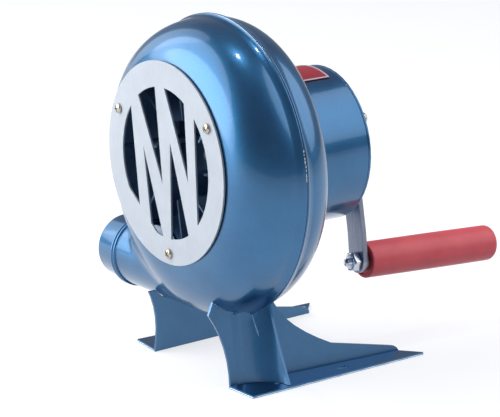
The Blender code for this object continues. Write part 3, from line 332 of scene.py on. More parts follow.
def casingField(points, half):
    dome = lambda p: domeField(p, half)
    a, b = dome(points), spoutField(points)
    ga, gb = slope(dome, points), slope(spoutField, points)
    cosine = (ga * gb).sum(1) / np.maximum(np.linalg.norm(ga, axis=1) * np.linalg.norm(gb, axis=1), tiny)
    reach = casing["blend"] * np.clip(1 - cosine, 0, 1) + casing["leastBlend"]  # tangent skins need no blend
    h = np.clip(0.5 + 0.5 * (b - a) / reach, 0, 1)
    return b * (1 - h) + a * h - reach * h * (1 - h)


def ringSolid(rings):  # closed solid through rings of equal count
    count = len(rings[0])
    vertices = [v for ring in rings for v in ring]
    faces = [tuple(range(count)), tuple(range(len(vertices) - count, len(vertices)))]
    for r in range(len(rings) - 1):
        for i in range(count):
            j = (i + 1) % count
            faces.append((r * count + i, r * count + j, (r + 1) * count + j, (r + 1) * count + i))
    return vertices, faces


def domeRings(half, steps=90, levels=10):
    rings = []
    for level in range(-1, levels + 1):
        angle = math.pi / 2 * max(level, 0) / levels
        ring = []
        for i in range(steps):
            turn = i / steps
            volute = float(voluteRadius(np.array(turn)))
            face = half["face"] if "face" in half else volute - half["shoulder"]
            radius = face + (volute - face) * math.cos(angle) ** (2 / half["power"])
            y = half["side"] * half["depth"] * math.sin(angle) ** (2 / half["power"])
            if level < 0:
                y = -half["side"] * casing["past"]  # past the seam, trimmed later
            a = math.pi - 2 * math.pi * turn
            ring.append((radius * math.cos(a), y, radius * math.sin(a)))
        rings.append(ring)
    return rings


def casingHalf(name, half, node):
    vertices, faces = ringSolid(domeRings(half))
    tubeRings = []
    for x in (outlet["inset"], -outlet["spoutEnd"] - casing["past"]):
        ring = []
        for i in range(outlet["sides"]):
            a = 2 * math.pi * i / outlet["sides"]
            point = Vector((x, outlet["spout"] * math.cos(a), outlet["spout"] * math.sin(a)))
            ring.append(tuple(outlet["pivot"] + outletTurn @ point))
        tubeRings.append(ring)
    tubeVertices, tubeFaces = ringSolid(tubeRings)
    start = len(vertices)
    vertices = vertices + tubeVertices
    faces = faces + [tuple(v + start for v in face) for face in tubeFaces]
    rough = addObject("rough", bpy.data.meshes.new("rough"))
    rough.data.from_pydata(vertices, [], faces)
    faceOutward(rough.data)
    remesh = rough.modifiers.new("voxel", "REMESH")
    remesh.mode = "VOXEL"
    remesh.voxel_size = casing["voxel"]
    dense = evaluated(rough)
    bpy.data.objects.remove(rough)
    points = np.array([v.co for v in dense.vertices], float)
    field = lambda p: casingField(p, half)
    for _ in range(casing["settle"]):  # settle every point on the blended skin
        grad = slope(field, points)
        length = np.maximum((grad * grad).sum(1), casing["leastSlope"])
        move = np.clip(field(points) / length, -casing["stride"], casing["stride"])
        points -= move[:, None] * grad
    dense.vertices.foreach_set("co", points.astype(np.float32).ravel())
    bm = bmesh.new()
    bm.from_mesh(dense)
    mouth = outlet["pivot"] + outletTurn @ Vector((-outlet["spoutEnd"], 0, 0))
    planes = [((0, half["side"] * casing["gap"] / 2, 0), (0, -half["side"], 0)),
              (mouth, outletTurn @ Vector((-1, 0, 0)))]
    for spot, normal in planes:
        everything = bm.verts[:] + bm.edges[:] + bm.faces[:]
        bmesh.ops.bisect_plane(bm, geom=everything, plane_co=spot, plane_no=normal, clear_outer=True)
    if half["side"] < 0:
        faceY = -half["depth"] + casing["faceDepth"]
        inside = [v for v in bm.verts if v.co.y < faceY
                  and math.hypot(v.co.x, v.co.z) < casing["intake"] - casing["intakeTrim"]]
        bmesh.ops.delete(bm, geom=inside, context="VERTS")
        for v in bm.verts:
            radius = math.hypot(v.co.x, v.co.z)
            if v.is_boundary and v.co.y < faceY:
                v.co.x *= casing["intake"] / radius
                v.co.z *= casing["intake"] / radius
    bm.verts.index_update()
    outer = np.array([v.co for v in bm.verts], float)
    normals = slope(field, outer)
    normals /= np.maximum(np.linalg.norm(normals, axis=1), tiny)[:, None]
    count = len(outer)
    skin = [[v.index for v in face.verts] for face in bm.faces]
    rim = []
    for edge in bm.edges:
        if edge.is_boundary:
            loop = edge.link_loops[0]
            a, b = loop.vert.index, loop.link_loop_next.vert.index
            rim.append([b, a, a + count, b + count])
    bm.free()
    both = np.concatenate([outer, outer - casing["wall"] * normals]) + np.array(fanAxis)
    faces = skin + [[v + count for v in reversed(face)] for face in skin] + rim
    mesh = bpy.data.meshes.new(name)
    mesh.from_pydata(both.tolist(), [], faces)
    piece = addObject(name, mesh)
    mesh.shade_smooth()
    loopNormals = []
    for polygon in mesh.polygons:
        flat = polygon.index >= 2 * len(skin)
        for v in polygon.vertices:
            side = 1 if v < count else -1
            loopNormals.append(tuple(polygon.normal) if flat else tuple(normals[v % count] * side))
    mesh.normals_split_custom_set(loopNormals)
    mesh.materials.append(paint)
    mesh.materials.append(undercoatAndRunHighlight)
    for polygon in mesh.polygons:
        polygon.material_index = int(len(skin) <= polygon.index < 2 * len(skin))
    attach(piece, "housing")
    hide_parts(node)
    print(name, len(mesh.polygons), "faces")


casingHalf("frontCasing", casing["front"], "front_shell")
casingHalf("rearCasing", casing["rear"], "rear_shell")

# Rolled lips of the seam, flared out of the dome, and left out where they would stand in the spout

lip = {"out": 0.0022, "thick": 0.0012, "root": 0.0012, "round": 0.0005, "bend": 0.001, "steps": 360,
       "flare": 0.0075, "flareSteps": 9, "hollow": 2.2, "short": 0.0004, "sunk": 0.0001, "skirt": 0.0006}


def domeRadius(volute, y, half):
    face = half["face"] if "face" in half else volute - half["shoulder"]
    deep = abs(y) / half["depth"]
    return face + (volute - face) * (1 - deep ** half["power"]) ** (1 / half["power"])


def seamLip(name, half):
    side = half["side"]
    near, far = side * casing["gap"] / 2, side * (casing["gap"] / 2 + lip["thick"])
    crest = [(-lip["root"], near)]
    crest += rounded((-lip["root"], near), (lip["out"], near), (lip["out"], far), lip["round"])
    crest += rounded((lip["out"], near), (lip["out"], far),
                     (lip["out"] - lip["bend"], far + side * lip["bend"]), lip["round"])

    def section(volute):
        points = list(crest)
        for i in range(1, lip["flareSteps"] + 1):  # hollow sweep down to the dome
            t = 1 - i / lip["flareSteps"]
            y = far + side * lip["flare"] * (1 - t)
            rise = (lip["out"] - lip["short"]) * t ** lip["hollow"]
            points.append((domeRadius(volute, y, half) - volute + rise - lip["sunk"], y))
        return points + [(points[-1][0] - lip["skirt"], points[-1][1])]

    turns = []
    for i in range(lip["steps"]):
        turn = i / lip["steps"]
        a = math.pi - 2 * math.pi * turn
        radius = float(voluteRadius(np.array(turn)))
        point = np.array([[radius * math.cos(a), far, radius * math.sin(a)]])
        clear = spoutField(point)[0] > -lip["root"]
        turns.append((a, radius, clear))
    first = next(i for i in range(lip["steps"]) if turns[i][2] and not turns[i - 1][2])
    along = [turns[(first + i) % lip["steps"]] for i in range(lip["steps"])]
    rings = []
    for a, radius, clear in along:
        if clear:
            rings.append([fanAxis + Vector(((radius + out) * math.cos(a), y, (radius + out) * math.sin(a)))
                          for out, y in section(radius)])
    newPiece(name, *ringSolid(rings), paint, "housing", "blue_paint")


seamLip("frontSeamLip", casing["front"])
seamLip("rearSeamLip", casing["rear"])

# Rolled bead round the spout's mouth and the collar that leaves it

roll = {"back": 0.0072, "foot": 0.0006, "step": 0.0001, "ridges": (0.0052, 0.0021), "half": 0.0014,
        "lift": 0.0002, "steps": 8, "lap": 0.0003, "tuck": 0.0012}
spoutMouth, spoutSkin = outlet["spoutEnd"], outlet["spout"]
beadProfile = [(spoutMouth - roll["back"], spoutSkin - roll["foot"]),
               (spoutMouth - roll["back"], spoutSkin + roll["step"])]
for ridge in roll["ridges"]:  # two ridges with a groove between
    for i in range(roll["steps"] + 1):
        a = math.pi * i / roll["steps"]
        beadProfile.append((spoutMouth - ridge - roll["half"] * math.cos(a),
                            spoutSkin + roll["lift"] + outlet["bead"] * math.sin(a)))
beadProfile += [(spoutMouth + roll["lap"], spoutSkin - roll["lift"]),
                (spoutMouth + roll["lap"], outlet["collar"] + roll["lap"]),
                (spoutMouth - roll["tuck"], outlet["collar"] + roll["lap"])]
newPiece("spoutBead", *lathe(beadProfile, outletPlace, steps=96), paint, "housing", "blue_paint")
collarStart = outlet["collarEnd"] - outlet["collarLength"]
collarProfile = [(collarStart, outlet["bore"]), (collarStart, outlet["collar"])]
collarProfile += rounded((collarStart, outlet["collar"]), (outlet["collarEnd"], outlet["collar"]),
                         (outlet["collarEnd"], outlet["bore"]), outlet["outerRound"])
collarProfile += rounded((outlet["collarEnd"], outlet["collar"]), (outlet["collarEnd"], outlet["bore"]),
                         (collarStart, outlet["bore"]), outlet["innerRound"])
newPiece("outletCollar", *lathe(collarProfile, outletPlace, steps=96), paint, "housing", "blue_paint",
         ("outlet_collar",))
print("outlet made")

# Pan head screws with a cross recess

screw = {"head": 0.0037, "height": 0.0024, "endHead": 0.0045, "endHeight": 0.0036, "shank": 0.0019,
         "slot": 0.0009, "reach": 0.0023, "depth": 0.0013, "crown": 0.8, "crownSteps": 7, "draft": 0.985,
         "above": 0.002, "coverTurn": 0.4, "coverStep": 0.9, "endTurn": 0.2, "endStep": 1.1}


def panScrew(name, node, facing, material, slotName, spin, head, height):
    low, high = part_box(node)
    taller = height - screw["height"]  # the head grows outwards from its seat
    tip = low.y - taller if facing < 0 else high.y + taller
    middle = Vector(((low.x + high.x) / 2, tip, (low.z + high.z) / 2))
    length = high.y - low.y + taller
    place = Matrix.Translation(middle) @ Matrix.Scale(facing, 4, (0, 1, 0)) @ Matrix.Rotation(spin, 4, "Y")
    profile = [(0.0, 0.0)]
    for i in range(1, screw["crownSteps"] + 1):
        a = math.pi / 2 * i / screw["crownSteps"]
        profile.append((-height * screw["crown"] * (1 - math.cos(a)), head * math.sin(a)))
    profile += [(-height, head * screw["draft"]), (-height, screw["shank"])]
    profile += [(-length, screw["shank"]), (-length, 0.0)]
    piece = newPiece(name, *lathe(profile, place, steps=32, closed=False), material, "housing", slotName,
                     (node,))
    for long, short in ((screw["reach"], screw["slot"] / 2), (screw["slot"] / 2, screw["reach"])):
        cutWith(piece, *boxCorners((-long, -screw["depth"], -short), (long, screw["above"], short), place))


for i in range(3):  # each one stopped at its own turn
    panScrew(f"coverScrew{i + 1}", f"cover_screw_{i + 1}", -1, yellowZinc, "yellow_zinc",
             screw["coverTurn"] + screw["coverStep"] * i, screw["head"], screw["height"])
    panScrew(f"endPlateScrew{i + 1}", f"end_plate_screw_{i + 1}", 1, yellowZinc, "zinc_plate",
             screw["endTurn"] + screw["endStep"] * i, screw["endHead"], screw["endHeight"])
print("screws made")

# Plain plate on the gearbox, red with a bare metal border

canLow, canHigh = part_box("gearbox_can")
label = {"start": 69.5, "sweep": 50.0, "seat": (canHigh.x - canLow.x) / 2 + 0.0003, "thick": 0.0008,
         "border": 0.0013, "proud": 0.00025, "points": 41}
canAxis = Vector(((canLow.x + canHigh.x) / 2, 0.0, (canLow.z + canHigh.z) / 2))


def curvedPlate(name, angles, stations, filled, inner, outer, material, replaced=()):
    vertices = []
    for radius in (outer, inner):
        for a in angles:
            for y in stations:
                vertices.append(canAxis + Vector((radius * math.cos(a), y, radius * math.sin(a))))
    rows, columns = len(angles), len(stations)
    spot = lambda layer, i, j: layer * rows * columns + i * columns + j
    faces = []
    for i in range(rows - 1):
        for j in range(columns - 1):
            if not filled(i, j):
                continue
            corners = [(i, j), (i + 1, j), (i + 1, j + 1), (i, j + 1)]
            faces.append([spot(0, *c) for c in corners])
            faces.append([spot(1, *c) for c in reversed(corners)])
            beyond = [(i, j - 1), (i + 1, j), (i, j + 1), (i - 1, j)]
            for k, (m, n) in enumerate(beyond):
                if 0 <= m < rows - 1 and 0 <= n < columns - 1 and filled(m, n):
                    continue
                a, b = corners[k], corners[(k + 1) % 4]
                faces.append([spot(0, *b), spot(0, *a), spot(1, *a), spot(1, *b)])
    used = sorted({v for face in faces for v in face})
    renumber = {v: k for k, v in enumerate(used)}
    faces = [[renumber[v] for v in face] for face in faces]
    newPiece(name, [vertices[v] for v in used], faces, material, "housing", "label_enamel", replaced)


plateLow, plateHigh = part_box("label_plate")
edgeTurn = label["border"] / label["seat"]
plateAngles = np.linspace(math.radians(label["start"]), math.radians(label["start"] + label["sweep"]),
                          label["points"])
plateAngles = np.concatenate([plateAngles[:1], [plateAngles[0] + edgeTurn], plateAngles[2:-2],
                              [plateAngles[-1] - edgeTurn], plateAngles[-1:]])
plateStations = [plateLow.y, plateLow.y + label["border"], plateHigh.y - label["border"], plateHigh.y]
onBorder = lambda i, j: i in (0, len(plateAngles) - 2) or j in (0, len(plateStations) - 2)
plateOuter = label["seat"] + label["thick"]
curvedPlate("labelPlate", plateAngles, plateStations, lambda i, j: True, label["seat"],
            plateOuter - label["proud"], redEnamel, ("label_plate",))
curvedPlate("labelBorder", plateAngles, plateStations, onBorder, plateOuter - label["proud"],
            plateOuter, silverPrint)
print("label plate made")

# Grip, its bolt and nut, on the tilted axis at the arm's end

grip = {"start": 0.0042, "length": 0.118, "radius": 0.0133, "round": 0.004, "bore": 0.0049,
        "pocket": 0.0071, "pocketRound": 0.0006, "headDepth": 0.006, "headGap": 0.0003,
        "dish": 0.0025, "rim": 0.0016, "dishRound": 0.0006, "rimRound": 0.0004, "edgeRound": 0.0010,
        "belly": 0.00015, "bellyAt": (0.1, 0.3, 0.5, 0.7, 0.9), "armRest": 11.4, "armSet": 3.3}
gripPlace = (Matrix.Translation(Vector(jointPlace["grip_spin"]["pos_m"]))
             @ Matrix.Rotation(-math.radians(grip["armRest"]), 4, "Y")
             @ Matrix.Rotation(-math.radians(grip["armSet"]), 4, "X"))
gripStart, gripRadius = grip["start"], grip["radius"]
gripEnd = gripStart + grip["length"]
headY = gripEnd - grip["headDepth"]
dishFloor, rimInside = gripStart + grip["dish"], gripRadius - grip["rim"]
gripProfile = [(dishFloor, grip["bore"])]  # the near end is dished inside a thin rim
gripProfile += rounded((dishFloor, grip["bore"]), (dishFloor, rimInside), (gripStart, rimInside),
                       grip["dishRound"])
gripProfile += rounded((dishFloor, rimInside), (gripStart, rimInside), (gripStart, gripRadius),
                       grip["rimRound"])
gripProfile += rounded((gripStart, rimInside), (gripStart, gripRadius), (gripEnd, gripRadius),
                       grip["edgeRound"])
for t in grip["bellyAt"]:  # a slight belly
    gripProfile.append((gripStart + grip["length"] * t, gripRadius + grip["belly"] * math.sin(math.pi * t)))
gripProfile += rounded((gripStart, gripRadius), (gripEnd, gripRadius), (gripEnd, grip["pocket"]),
                       grip["round"], steps=8)
gripProfile += rounded((gripEnd, gripRadius), (gripEnd, grip["pocket"]), (headY, grip["pocket"]),
                       grip["pocketRound"])
gripProfile += [(headY - grip["headGap"], grip["pocket"]), (headY - grip["headGap"], grip["bore"])]
newPiece("handGrip", *lathe(gripProfile, gripPlace), redVinyl, "grip", "grip_plastic", ("grip",))

bolt = {"radius": 0.003, "proud": 0.0045, "nutBack": -0.0078, "pitch": 0.0008, "thread": 0.0003,
        "lead": 0.0006, "tip": 0.72, "head": 0.0065, "headHeight": 0.004, "headRound": 0.0012,
        "slotDepth": 0.0014, "slotHalf": 0.0006, "slotReach": 0.01}
boltEnd = bolt["nutBack"] - bolt["proud"]
boltProfile = [(boltEnd, 0.0), (boltEnd, bolt["radius"] * bolt["tip"]),
               (boltEnd + bolt["lead"], bolt["radius"])]
turnsOfThread = int(bolt["proud"] / bolt["pitch"])
for i in range(1, turnsOfThread):  # thread drawn as plain rings
    y = boltEnd + bolt["lead"] + i * bolt["pitch"]
    boltProfile += [(y, bolt["radius"] - bolt["thread"]), (y + bolt["pitch"] / 2, bolt["radius"])]
headTop = headY + bolt["headHeight"]
boltProfile += [(bolt["nutBack"], bolt["radius"]), (headY, bolt["radius"]), (headY, bolt["head"])]
boltProfile += rounded((headY, bolt["head"]), (headTop, bolt["head"]), (headTop, 0.0), bolt["headRound"])
boltProfile += [(headTop, 0.0)]
boltPiece = newPiece("gripBolt", *lathe(boltProfile, gripPlace, steps=32, closed=False), plainZinc, "crank",
                     "turned_steel", ("grip_bolt",))
cutWith(boltPiece, *boxCorners((-bolt["slotReach"], headTop - bolt["slotDepth"], -bolt["slotHalf"]),
                               (bolt["slotReach"], headY + bolt["slotReach"], bolt["slotHalf"]), gripPlace))

nut = {"halfFlats": 0.0065, "chamfer": 0.0009, "over": 0.0002, "front": -0.0023, "bore": 0.0033,
       "through": 0.001}


def hexNut(name, node, place, y0, y1, material):
    across = nut["halfFlats"] / math.cos(math.pi / 6)
    corners = [place @ Vector((across * math.cos(a), y, across * math.sin(a)))
               for y in (y0, y1) for a in (math.pi / 3 * i for i in range(6))]
    sides = [(i, (i + 1) % 6, (i + 1) % 6 + 6, i + 6) for i in range(6)]
    faces = [tuple(range(6)), tuple(range(6, 12))] + sides
    piece = newPiece(name, corners, faces, material, "crank", "zinc_plate", (node,))
    chamfer, narrow, wide = nut["chamfer"], across - 2.0 * nut["chamfer"], across + nut["over"]
    turned = [(y0, 0.0), (y0, narrow), (y0 + chamfer, wide), (y1 - chamfer, wide), (y1, narrow), (y1, 0.0)]
    cutWith(piece, *lathe(turned, place, steps=48, closed=False), operation="INTERSECT")
    bottom, top = y0 - nut["through"], y1 + nut["through"]
    hole = [(bottom, 0.0), (bottom, nut["bore"]), (top, nut["bore"]), (top, 0.0)]
    cutWith(piece, *lathe(hole, place, steps=32, closed=False))


hexNut("gripNut", "grip_nut", gripPlace, bolt["nutBack"], nut["front"], plainZinc)
print("grip made")

# Weld stitches between the legs and the casing, a run of paint whose pale colour is partly painted highlight,
# and chips on the lip

leg = {"half": 0.050, "lean": 9.0, "toe": 2.7, "front": -0.0225, "ground": -fanAxis.z}


def legFace(y, height, side):  # point on a leg's outer face
    x = leg["half"] + math.tan(math.radians(leg["toe"])) * (y - leg["front"])
    x -= math.tan(math.radians(leg["lean"])) * height
    return Vector((side * x, y, leg["ground"] + height))


def weldPoint(y, side):  # where a leg's outer face meets the dome
    half = casing["front"] if y < 0 else casing["rear"]
    low, high = weld["search"]
    for _ in range(weld["halvings"]):
        middle = (low + high) / 2
        if domeField(np.array([legFace(y, middle, side)]), half)[0] > 0:
            low = middle
        else:
            high = middle
    return legFace(y, low, side)


slantwise = Vector((0.31, 0.22, 0.93))  # no rope runs this way


def bead(path, radii, steps=12):  # closed round rope through points
    vertices, faces = [], []
    for i, (point, radius) in enumerate(zip(path, radii)):
        along = (path[min(i + 1, len(path) - 1)] - path[max(i - 1, 0)]).normalized()
        across = along.cross(slantwise).normalized()
        up = across.cross(along)
        for k in range(steps):
            a = 2 * math.pi * k / steps
            vertices.append(fanAxis + point + (across * math.cos(a) + up * math.sin(a)) * radius)
    for i in range(len(path) - 1):
        for k in range(steps):
            n = (k + 1) % steps
            faces.append((i * steps + k, i * steps + n, (i + 1) * steps + n, (i + 1) * steps + k))
    faces += [tuple(range(steps)), tuple(range(len(vertices) - steps, len(vertices)))]
    return vertices, faces


def swelling(t, taper, blunt):  # full in the middle, drawn in at both ends
    return math.sin(math.pi * min(max(t, taper), 1 - taper)) ** blunt


weld = {"ripple": 0.0022, "rippleShare": 0.16, "points": 26, "taper": 0.04, "blunt": 0.35,
        "search": (0.02, 0.10), "halvings": 24,  # then each stitch: start, end, thickness
        "right": ((-0.030, -0.024, 0.0015), (-0.014, -0.006, 0.0015),
                  (-0.0035, 0.0035, 0.0027), (0.006, 0.013, 0.0015)),
        "left": ((0.004, 0.013, 0.0015),)}
for side, edgeName in ((1, "right"), (-1, "left")):
    for number, (start, end, thick) in enumerate(weld[edgeName]):
        path, radii = [], []
        for i in range(weld["points"]):
            t = i / (weld["points"] - 1)
            path.append(weldPoint(start + (end - start) * t, side))
            swell = swelling(t, weld["taper"], weld["blunt"])
            ripple = math.sin(2 * math.pi * t * (end - start) / weld["ripple"])
            radii.append(thick * swell * (1 + weld["rippleShare"] * ripple))
        newPiece(f"{edgeName}Weld{number + 1}", *bead(path, radii), paint, "housing", "blue_paint")

# paint drawn into the corner where the bowed web leaves a leg
web = {"y": 0.0135, "thick": 0.002, "edge": 0.0011, "sunk": 0.00012, "under": 0.0004, "bow": 0.026,
       "before": 0.007, "after": 0.004, "rows": 14, "columns": 23, "low": 0.0022,
       "rightTop": 0.0525, "leftTop": 0.046}


def webFillet(name, side, top):
    start = web["y"] + web["thick"] / 2 - web["bow"]
    vertices, faces = [], []
    for layer in (0, 1):
        for i in range(web["rows"]):
            height = web["low"] + (top - web["low"]) * i / (web["rows"] - 1)
            for k in range(web["columns"]):
                t = k / (web["columns"] - 1)
                y = start - web["before"] + (web["before"] + web["after"]) * t
                grow = min(t * (web["before"] + web["after"]) / web["before"], 1)
                rise = (web["edge"] + 2 * web["sunk"]) * grow * grow * (3 - 2 * grow) - web["sunk"]
                lift = Vector((side * (rise if layer == 0 else -web["under"]), 0, 0))
                vertices.append(fanAxis + legFace(y, height, side) + lift)
    rows, columns = web["rows"], web["columns"]
    spot = lambda layer, i, k: layer * rows * columns + i * columns + k
    for i in range(rows - 1):
        for k in range(columns - 1):
            for layer in (0, 1):
                faces.append((spot(layer, i, k), spot(layer, i + 1, k),
                              spot(layer, i + 1, k + 1), spot(layer, i, k + 1)))
    around = [(i, 0) for i in range(rows)] + [(rows - 1, k) for k in range(1, columns)]
    around += [(i, columns - 1) for i in range(rows - 2, -1, -1)]
    around += [(0, k) for k in range(columns - 2, 0, -1)]
    for (i, k), (m, n) in zip(around, around[1:] + around[:1]):
        faces.append((spot(0, i, k), spot(0, m, n), spot(1, m, n), spot(1, i, k)))
    newPiece(name, vertices, faces, paint, "housing", "blue_paint")


webFillet("webFilletRight", 1, web["rightTop"])
webFillet("webFilletLeft", -1, web["leftTop"])

run = {"start": (-0.0008, 0.0505), "end": (0.0026, 0.0345), "radius": 0.0005, "points": 18,
       "outside": 0.2, "thin": 0.75, "gain": 0.35, "tip": 0.2, "tail": 5}
webMesh = nodes["right_gusset"].data
webTree = BVHTree.FromPolygons([nodes["right_gusset"].matrix_world @ v.co for v in webMesh.vertices],
                               [tuple(polygon.vertices) for polygon in webMesh.polygons])
runPath, runRadii = [], []
for i in range(run["points"]):
    t = i / (run["points"] - 1)
    y = run["start"][0] + (run["end"][0] - run["start"][0]) * t
    height = run["start"][1] + (run["end"][1] - run["start"][1]) * t
    outside = fanAxis + Vector((run["outside"], y, leg["ground"] + height))
    spot = webTree.ray_cast(outside, Vector((-1, 0, 0)))[0]
    if spot:
        runPath.append(spot - fanAxis)
        runRadii.append(run["radius"] * (run["thin"] + run["gain"] * t)
                        * min(1.0, run["tip"] + run["tail"] * (1 - t)))
# the run is a real drip of paint; its pale colour is painted highlight for the light its glossy bead catches
newPiece("paintRunPaleHighlight", *bead(runPath, runRadii), undercoatAndRunHighlight, "housing", "blue_paint")

# pale steel lines on edges: a painted highlight along the crest of the front lip, and a pale line along the
# rims of the feet
edgeLine = {"from": 34.0, "to": 118.0, "lipRadius": 0.0006, "lipDepth": 0.0005, "lipY": -0.0010, "steps": 90,
       "foot": ((0.0488, -0.0224), (0.0751, -0.0206), (0.0705, 0.1356)),
       "footRadius": 0.00045, "footHeight": 0.0007, "footSteps": 30,
       "taper": 0.01, "blunt": 0.3, "even": 0.75, "uneven": 0.25, "wave": 1.7}
edgeLinePath, edgeLineRadii = [], []
for i in range(edgeLine["steps"]):
    t = i / (edgeLine["steps"] - 1)
    a = math.radians(edgeLine["from"] + (edgeLine["to"] - edgeLine["from"]) * t)
    radius = float(voluteRadius(np.array((math.pi - a) / (2 * math.pi)))) + lip["out"] - edgeLine["lipDepth"]
    edgeLinePath.append(Vector((radius * math.cos(a), edgeLine["lipY"], radius * math.sin(a))))
    edgeLineRadii.append(edgeLine["lipRadius"] * swelling(t, edgeLine["taper"], edgeLine["blunt"]))
# painted highlight: a thin pale steel bead along the lip crest stands in for the bright line the rolled lip
# catches
newPiece("lipHighlightLine", *bead(edgeLinePath, edgeLineRadii), paleEdgeSteel, "housing", "blue_paint")
for side, edgeName in ((1, "right"), (-1, "left")):
    edgeLinePath = []
    for (ax, ay), (bx, by) in zip(edgeLine["foot"], edgeLine["foot"][1:]):
        for i in range(1 if edgeLinePath else 0, edgeLine["footSteps"]):
            t = i / (edgeLine["footSteps"] - 1)
            edgeLinePath.append(Vector((side * (ax + (bx - ax) * t), ay + (by - ay) * t,
                                   leg["ground"] + edgeLine["footHeight"])))
    edgeLineRadii = [edgeLine["footRadius"] * (edgeLine["even"] + edgeLine["uneven"] * math.sin(edgeLine["wave"] * i))
                for i in range(len(edgeLinePath))]
    newPiece(f"{edgeName}FootRim", *bead(edgeLinePath, edgeLineRadii), paleEdgeSteel, "housing", "blue_paint")

chip = {"from": 3.0, "to": 14.0, "count": 10, "seed": 7, "spread": 0.8, "proud": 0.00002, "y": -0.0008,
        "ySpread": 0.0003, "long": 0.0015, "leastLong": 0.5, "bigOnes": 4, "bigSpread": 1.6,
        "smallSpread": 0.5, "wide": 0.0006, "leastWide": 0.6, "wideSpread": 0.5, "thick": 0.00008,
        "sides": 9, "ragged": 0.75, "raggedSpread": 0.4}
chance = random.Random(chip["seed"])
chipVertices, chipFaces = [], []
for i in range(chip["count"]):
    share = (i + chance.random() * chip["spread"]) / chip["count"]
    spot = math.radians(chip["from"] + (chip["to"] - chip["from"]) * share)
    radius = float(voluteRadius(np.array((math.pi - spot) / (2 * math.pi)))) + lip["out"]
    outward = Vector((math.cos(spot), 0, math.sin(spot)))
    along = Vector((-math.sin(spot), 0, math.cos(spot)))
    middle = outward * (radius + chip["proud"])
    middle += Vector((0, chip["y"] + chip["ySpread"] * chance.random(), 0))
    longSpread = chip["bigSpread"] if i < chip["bigOnes"] else chip["smallSpread"]
    long = chip["long"] * (chip["leastLong"] + chance.random() * longSpread)
    wide = chip["wide"] * (chip["leastWide"] + chip["wideSpread"] * chance.random())
    first, sides = len(chipVertices), chip["sides"]
    for lift in (0.0, chip["thick"]):
        for k in range(sides):
            a = 2 * math.pi * k / sides
            ragged = chip["ragged"] + chip["raggedSpread"] * ((k * 7 + i * 3) % 5) / 5
            chipVertices.append(fanAxis + middle + along * long * ragged * math.cos(a)
                                + Vector((0, wide * ragged * math.sin(a), 0)) + outward * lift)
    for k in range(sides):
        n = (k + 1) % sides
        chipFaces.append((first + k, first + n, first + sides + n, first + sides + k))
    chipFaces += [tuple(range(first, first + sides)), tuple(range(first + sides, first + 2 * sides))]
newPiece("paintChips", chipVertices, chipFaces, palePrimer, "housing", "blue_paint")
print("welds and chips made")

# CAD nodes that keep their shape: edges broken by a small bevel, and a finish

finishes = {  # node: material, bevel in metres
    "intake_cover": (coverSheet, 0.0004), "gearbox_can": (paint, 0.0005),
    "gearbox_end_plate": (paint, 0.0006), "right_leg": (paint, 0.0006), "left_leg": (paint, 0.0006),
    "right_gusset": (paint, 0.0005), "left_gusset": (paint, 0.0005), "crank_arm": (zincBar, 0.0005),
    "crank_washer": (zincBar, 0.0002), "crank_nut": (zincBar, 0.0005), "grip_washer": (zincBar, 0.0003),
    "grip_sleeve": (turnedSteel, 0.0001), "crank_shaft": (turnedSteel, 0.0004),
    "crank_gear": (turnedSteel, 0.0), "lay_shaft": (turnedSteel, 0.0003), "lay_pinion": (turnedSteel, 0.0),
    "lay_gear": (turnedSteel, 0.0), "fan_shaft": (turnedSteel, 0.0003), "fan_pinion": (turnedSteel, 0.0),
    "impeller_wheel": (impellerPaint, 0.0), "impeller_hub": (turnedSteel, 0.0005),
    "impeller_washer": (zincBar, 0.0003), "impeller_nut": (zincBar, 0.0005),
    "bearing_bridge": (castIron, 0.0), "fan_bush": (bronze, 0.0002), "lay_front_bush": (bronze, 0.0002),
    "lay_rear_bush": (bronze, 0.0002), "crank_bush": (bronze, 0.0003),
    "can_screw_1": (zincBar, 0.0), "can_screw_2": (zincBar, 0.0), "can_screw_3": (zincBar, 0.0)}
bevelling = {"merge": 0.00001, "segments": 2, "angle": 40}
for node, (material, bevel) in finishes.items():
    cad = nodes[node]
    cad.data.materials.clear()
    cad.data.materials.append(material)
    if bevel:
        if "custom_normal" in cad.data.attributes:
            cad.data.attributes.remove(cad.data.attributes["custom_normal"])
        cad.data.shade_smooth()
        joined = cad.modifiers.new("weld", "WELD")
        joined.merge_threshold = bevelling["merge"]
        edge = cad.modifiers.new("edge", "BEVEL")
        edge.width = bevel
        edge.segments = bevelling["segments"]
        edge.limit_method = "ANGLE"
        edge.angle_limit = math.radians(bevelling["angle"])
        cad.modifiers.new("normals", "WEIGHTED_NORMAL")
print("nodes finished")

# Camera at the photograph's angle, taken as 500 by 417

view = {"from": Vector((1.5476, -1.0579, 0.5103)), "to": Vector((0.0132, 0.0200, -0.0406)),
        "lens": 196.44, "sensor": 36.0}
cameraData = bpy.data.cameras.new("camera")
camera = addObject("camera", cameraData)
cameraData.sensor_width = view["sensor"]
cameraData.lens = view["lens"]
camera.location = fanAxis + view["from"]
camera.rotation_euler = (view["to"] - view["from"]).to_track_quat("-Z", "Y").to_euler()
bpy.context.scene.camera = camera

# Floor and light

stage = {"floor": "#A6A8AC", "white": 0.68, "world": "#8E97A6", "worldLevel": 0.8, "half": 8,
         "rough": 0.9, "sheen": 0.1, "aim": Vector((0.0, -0.05, 0.14))}
lamps = {  # azimuth, elevation, distance, width, height, watts
    "keyBox": (-36, 30, 1.5, 2.1, 2.15, 25), "lowBox": (-28, 17, 1.5, 1.6, 1.3, 11),
    "sideBox": (-80, 30, 1.5, 0.8, 1.8, 3.6), "backBox": (146, 38, 1.5, 1.9, 1.75, 13),
    "topBulb": (-110, 87, 1.3, 0.05, 0.05, 1.5)}


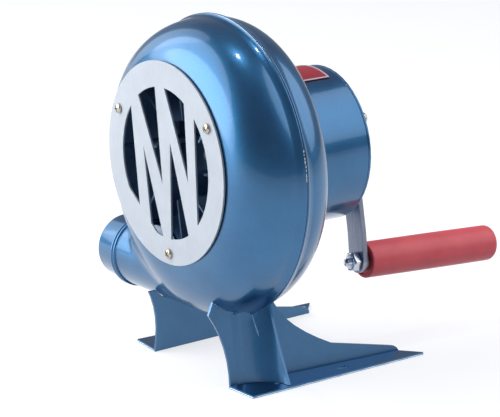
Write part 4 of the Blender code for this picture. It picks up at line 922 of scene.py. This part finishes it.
def addFloor():
    mesh = bpy.data.meshes.new("floor")
    half = stage["half"]
    corners = [(-half, -half, 0), (half, -half, 0), (half, half, 0), (-half, half, 0)]
    mesh.from_pydata(corners, [], [(0, 1, 2, 3)])
    floor = addObject("floor", mesh)
    material = bpy.data.materials.new("paperFloor")
    material.use_nodes = True
    tree = material.node_tree
    shader = tree.nodes["Principled BSDF"]
    shader.inputs["Base Color"].default_value = linear(stage["floor"])
    shader.inputs["Roughness"].default_value = stage["rough"]
    shader.inputs["Specular IOR Level"].default_value = stage["sheen"]
    # lifted to white for the eye, and as much in what metal and glass mirror
    path = addNode(tree, "ShaderNodeLightPath")
    mirror = addNode(tree, "ShaderNodeMath", {"operation": "MAXIMUM"},
                     {0: path.outputs["Is Glossy Ray"], 1: path.outputs["Is Transmission Ray"]})
    seen = addNode(tree, "ShaderNodeMath", {"operation": "MAXIMUM"},
                   {0: path.outputs["Is Camera Ray"], 1: mirror.outputs[0]})
    level = addNode(tree, "ShaderNodeMath", {"operation": "MULTIPLY", 1: stage["white"]},
                    {0: seen.outputs[0]})
    glow = addNode(tree, "ShaderNodeEmission", {"Color": (1, 1, 1, 1)}, {"Strength": level.outputs[0]})
    both = addNode(tree, "ShaderNodeAddShader", links={0: shader.outputs[0], 1: glow.outputs[0]})
    tree.links.new(both.outputs[0], tree.nodes["Material Output"].inputs["Surface"])
    mesh.materials.append(material)


def addWorld():  # a dim studio, of which the camera sees only the floor
    world = bpy.data.worlds.new("studio")
    bpy.context.scene.world = world
    world.use_nodes = True
    plain = world.node_tree.nodes["Background"]
    plain.inputs["Color"].default_value = linear(stage["world"])
    plain.inputs["Strength"].default_value = stage["worldLevel"]


def addLamp(name, azimuth, elevation, distance, width, height, watts):
    data = bpy.data.lights.new(name, "AREA")
    data.shape = "ELLIPSE"
    data.size, data.size_y, data.energy = width, height, watts
    lamp = addObject(name, data)
    a, e = math.radians(azimuth), math.radians(elevation)
    away = Vector((math.sin(a) * math.cos(e), -math.cos(a) * math.cos(e), math.sin(e)))
    lamp.location = stage["aim"] + away * distance
    lamp.rotation_euler = (-away).to_track_quat("-Z", "Y").to_euler()
    lamp.visible_camera = False


addFloor()
addWorld()
for name, settings in lamps.items():
    addLamp(name, *settings)
bpy.context.scene.view_settings.view_transform = "Standard"
print("stage set")
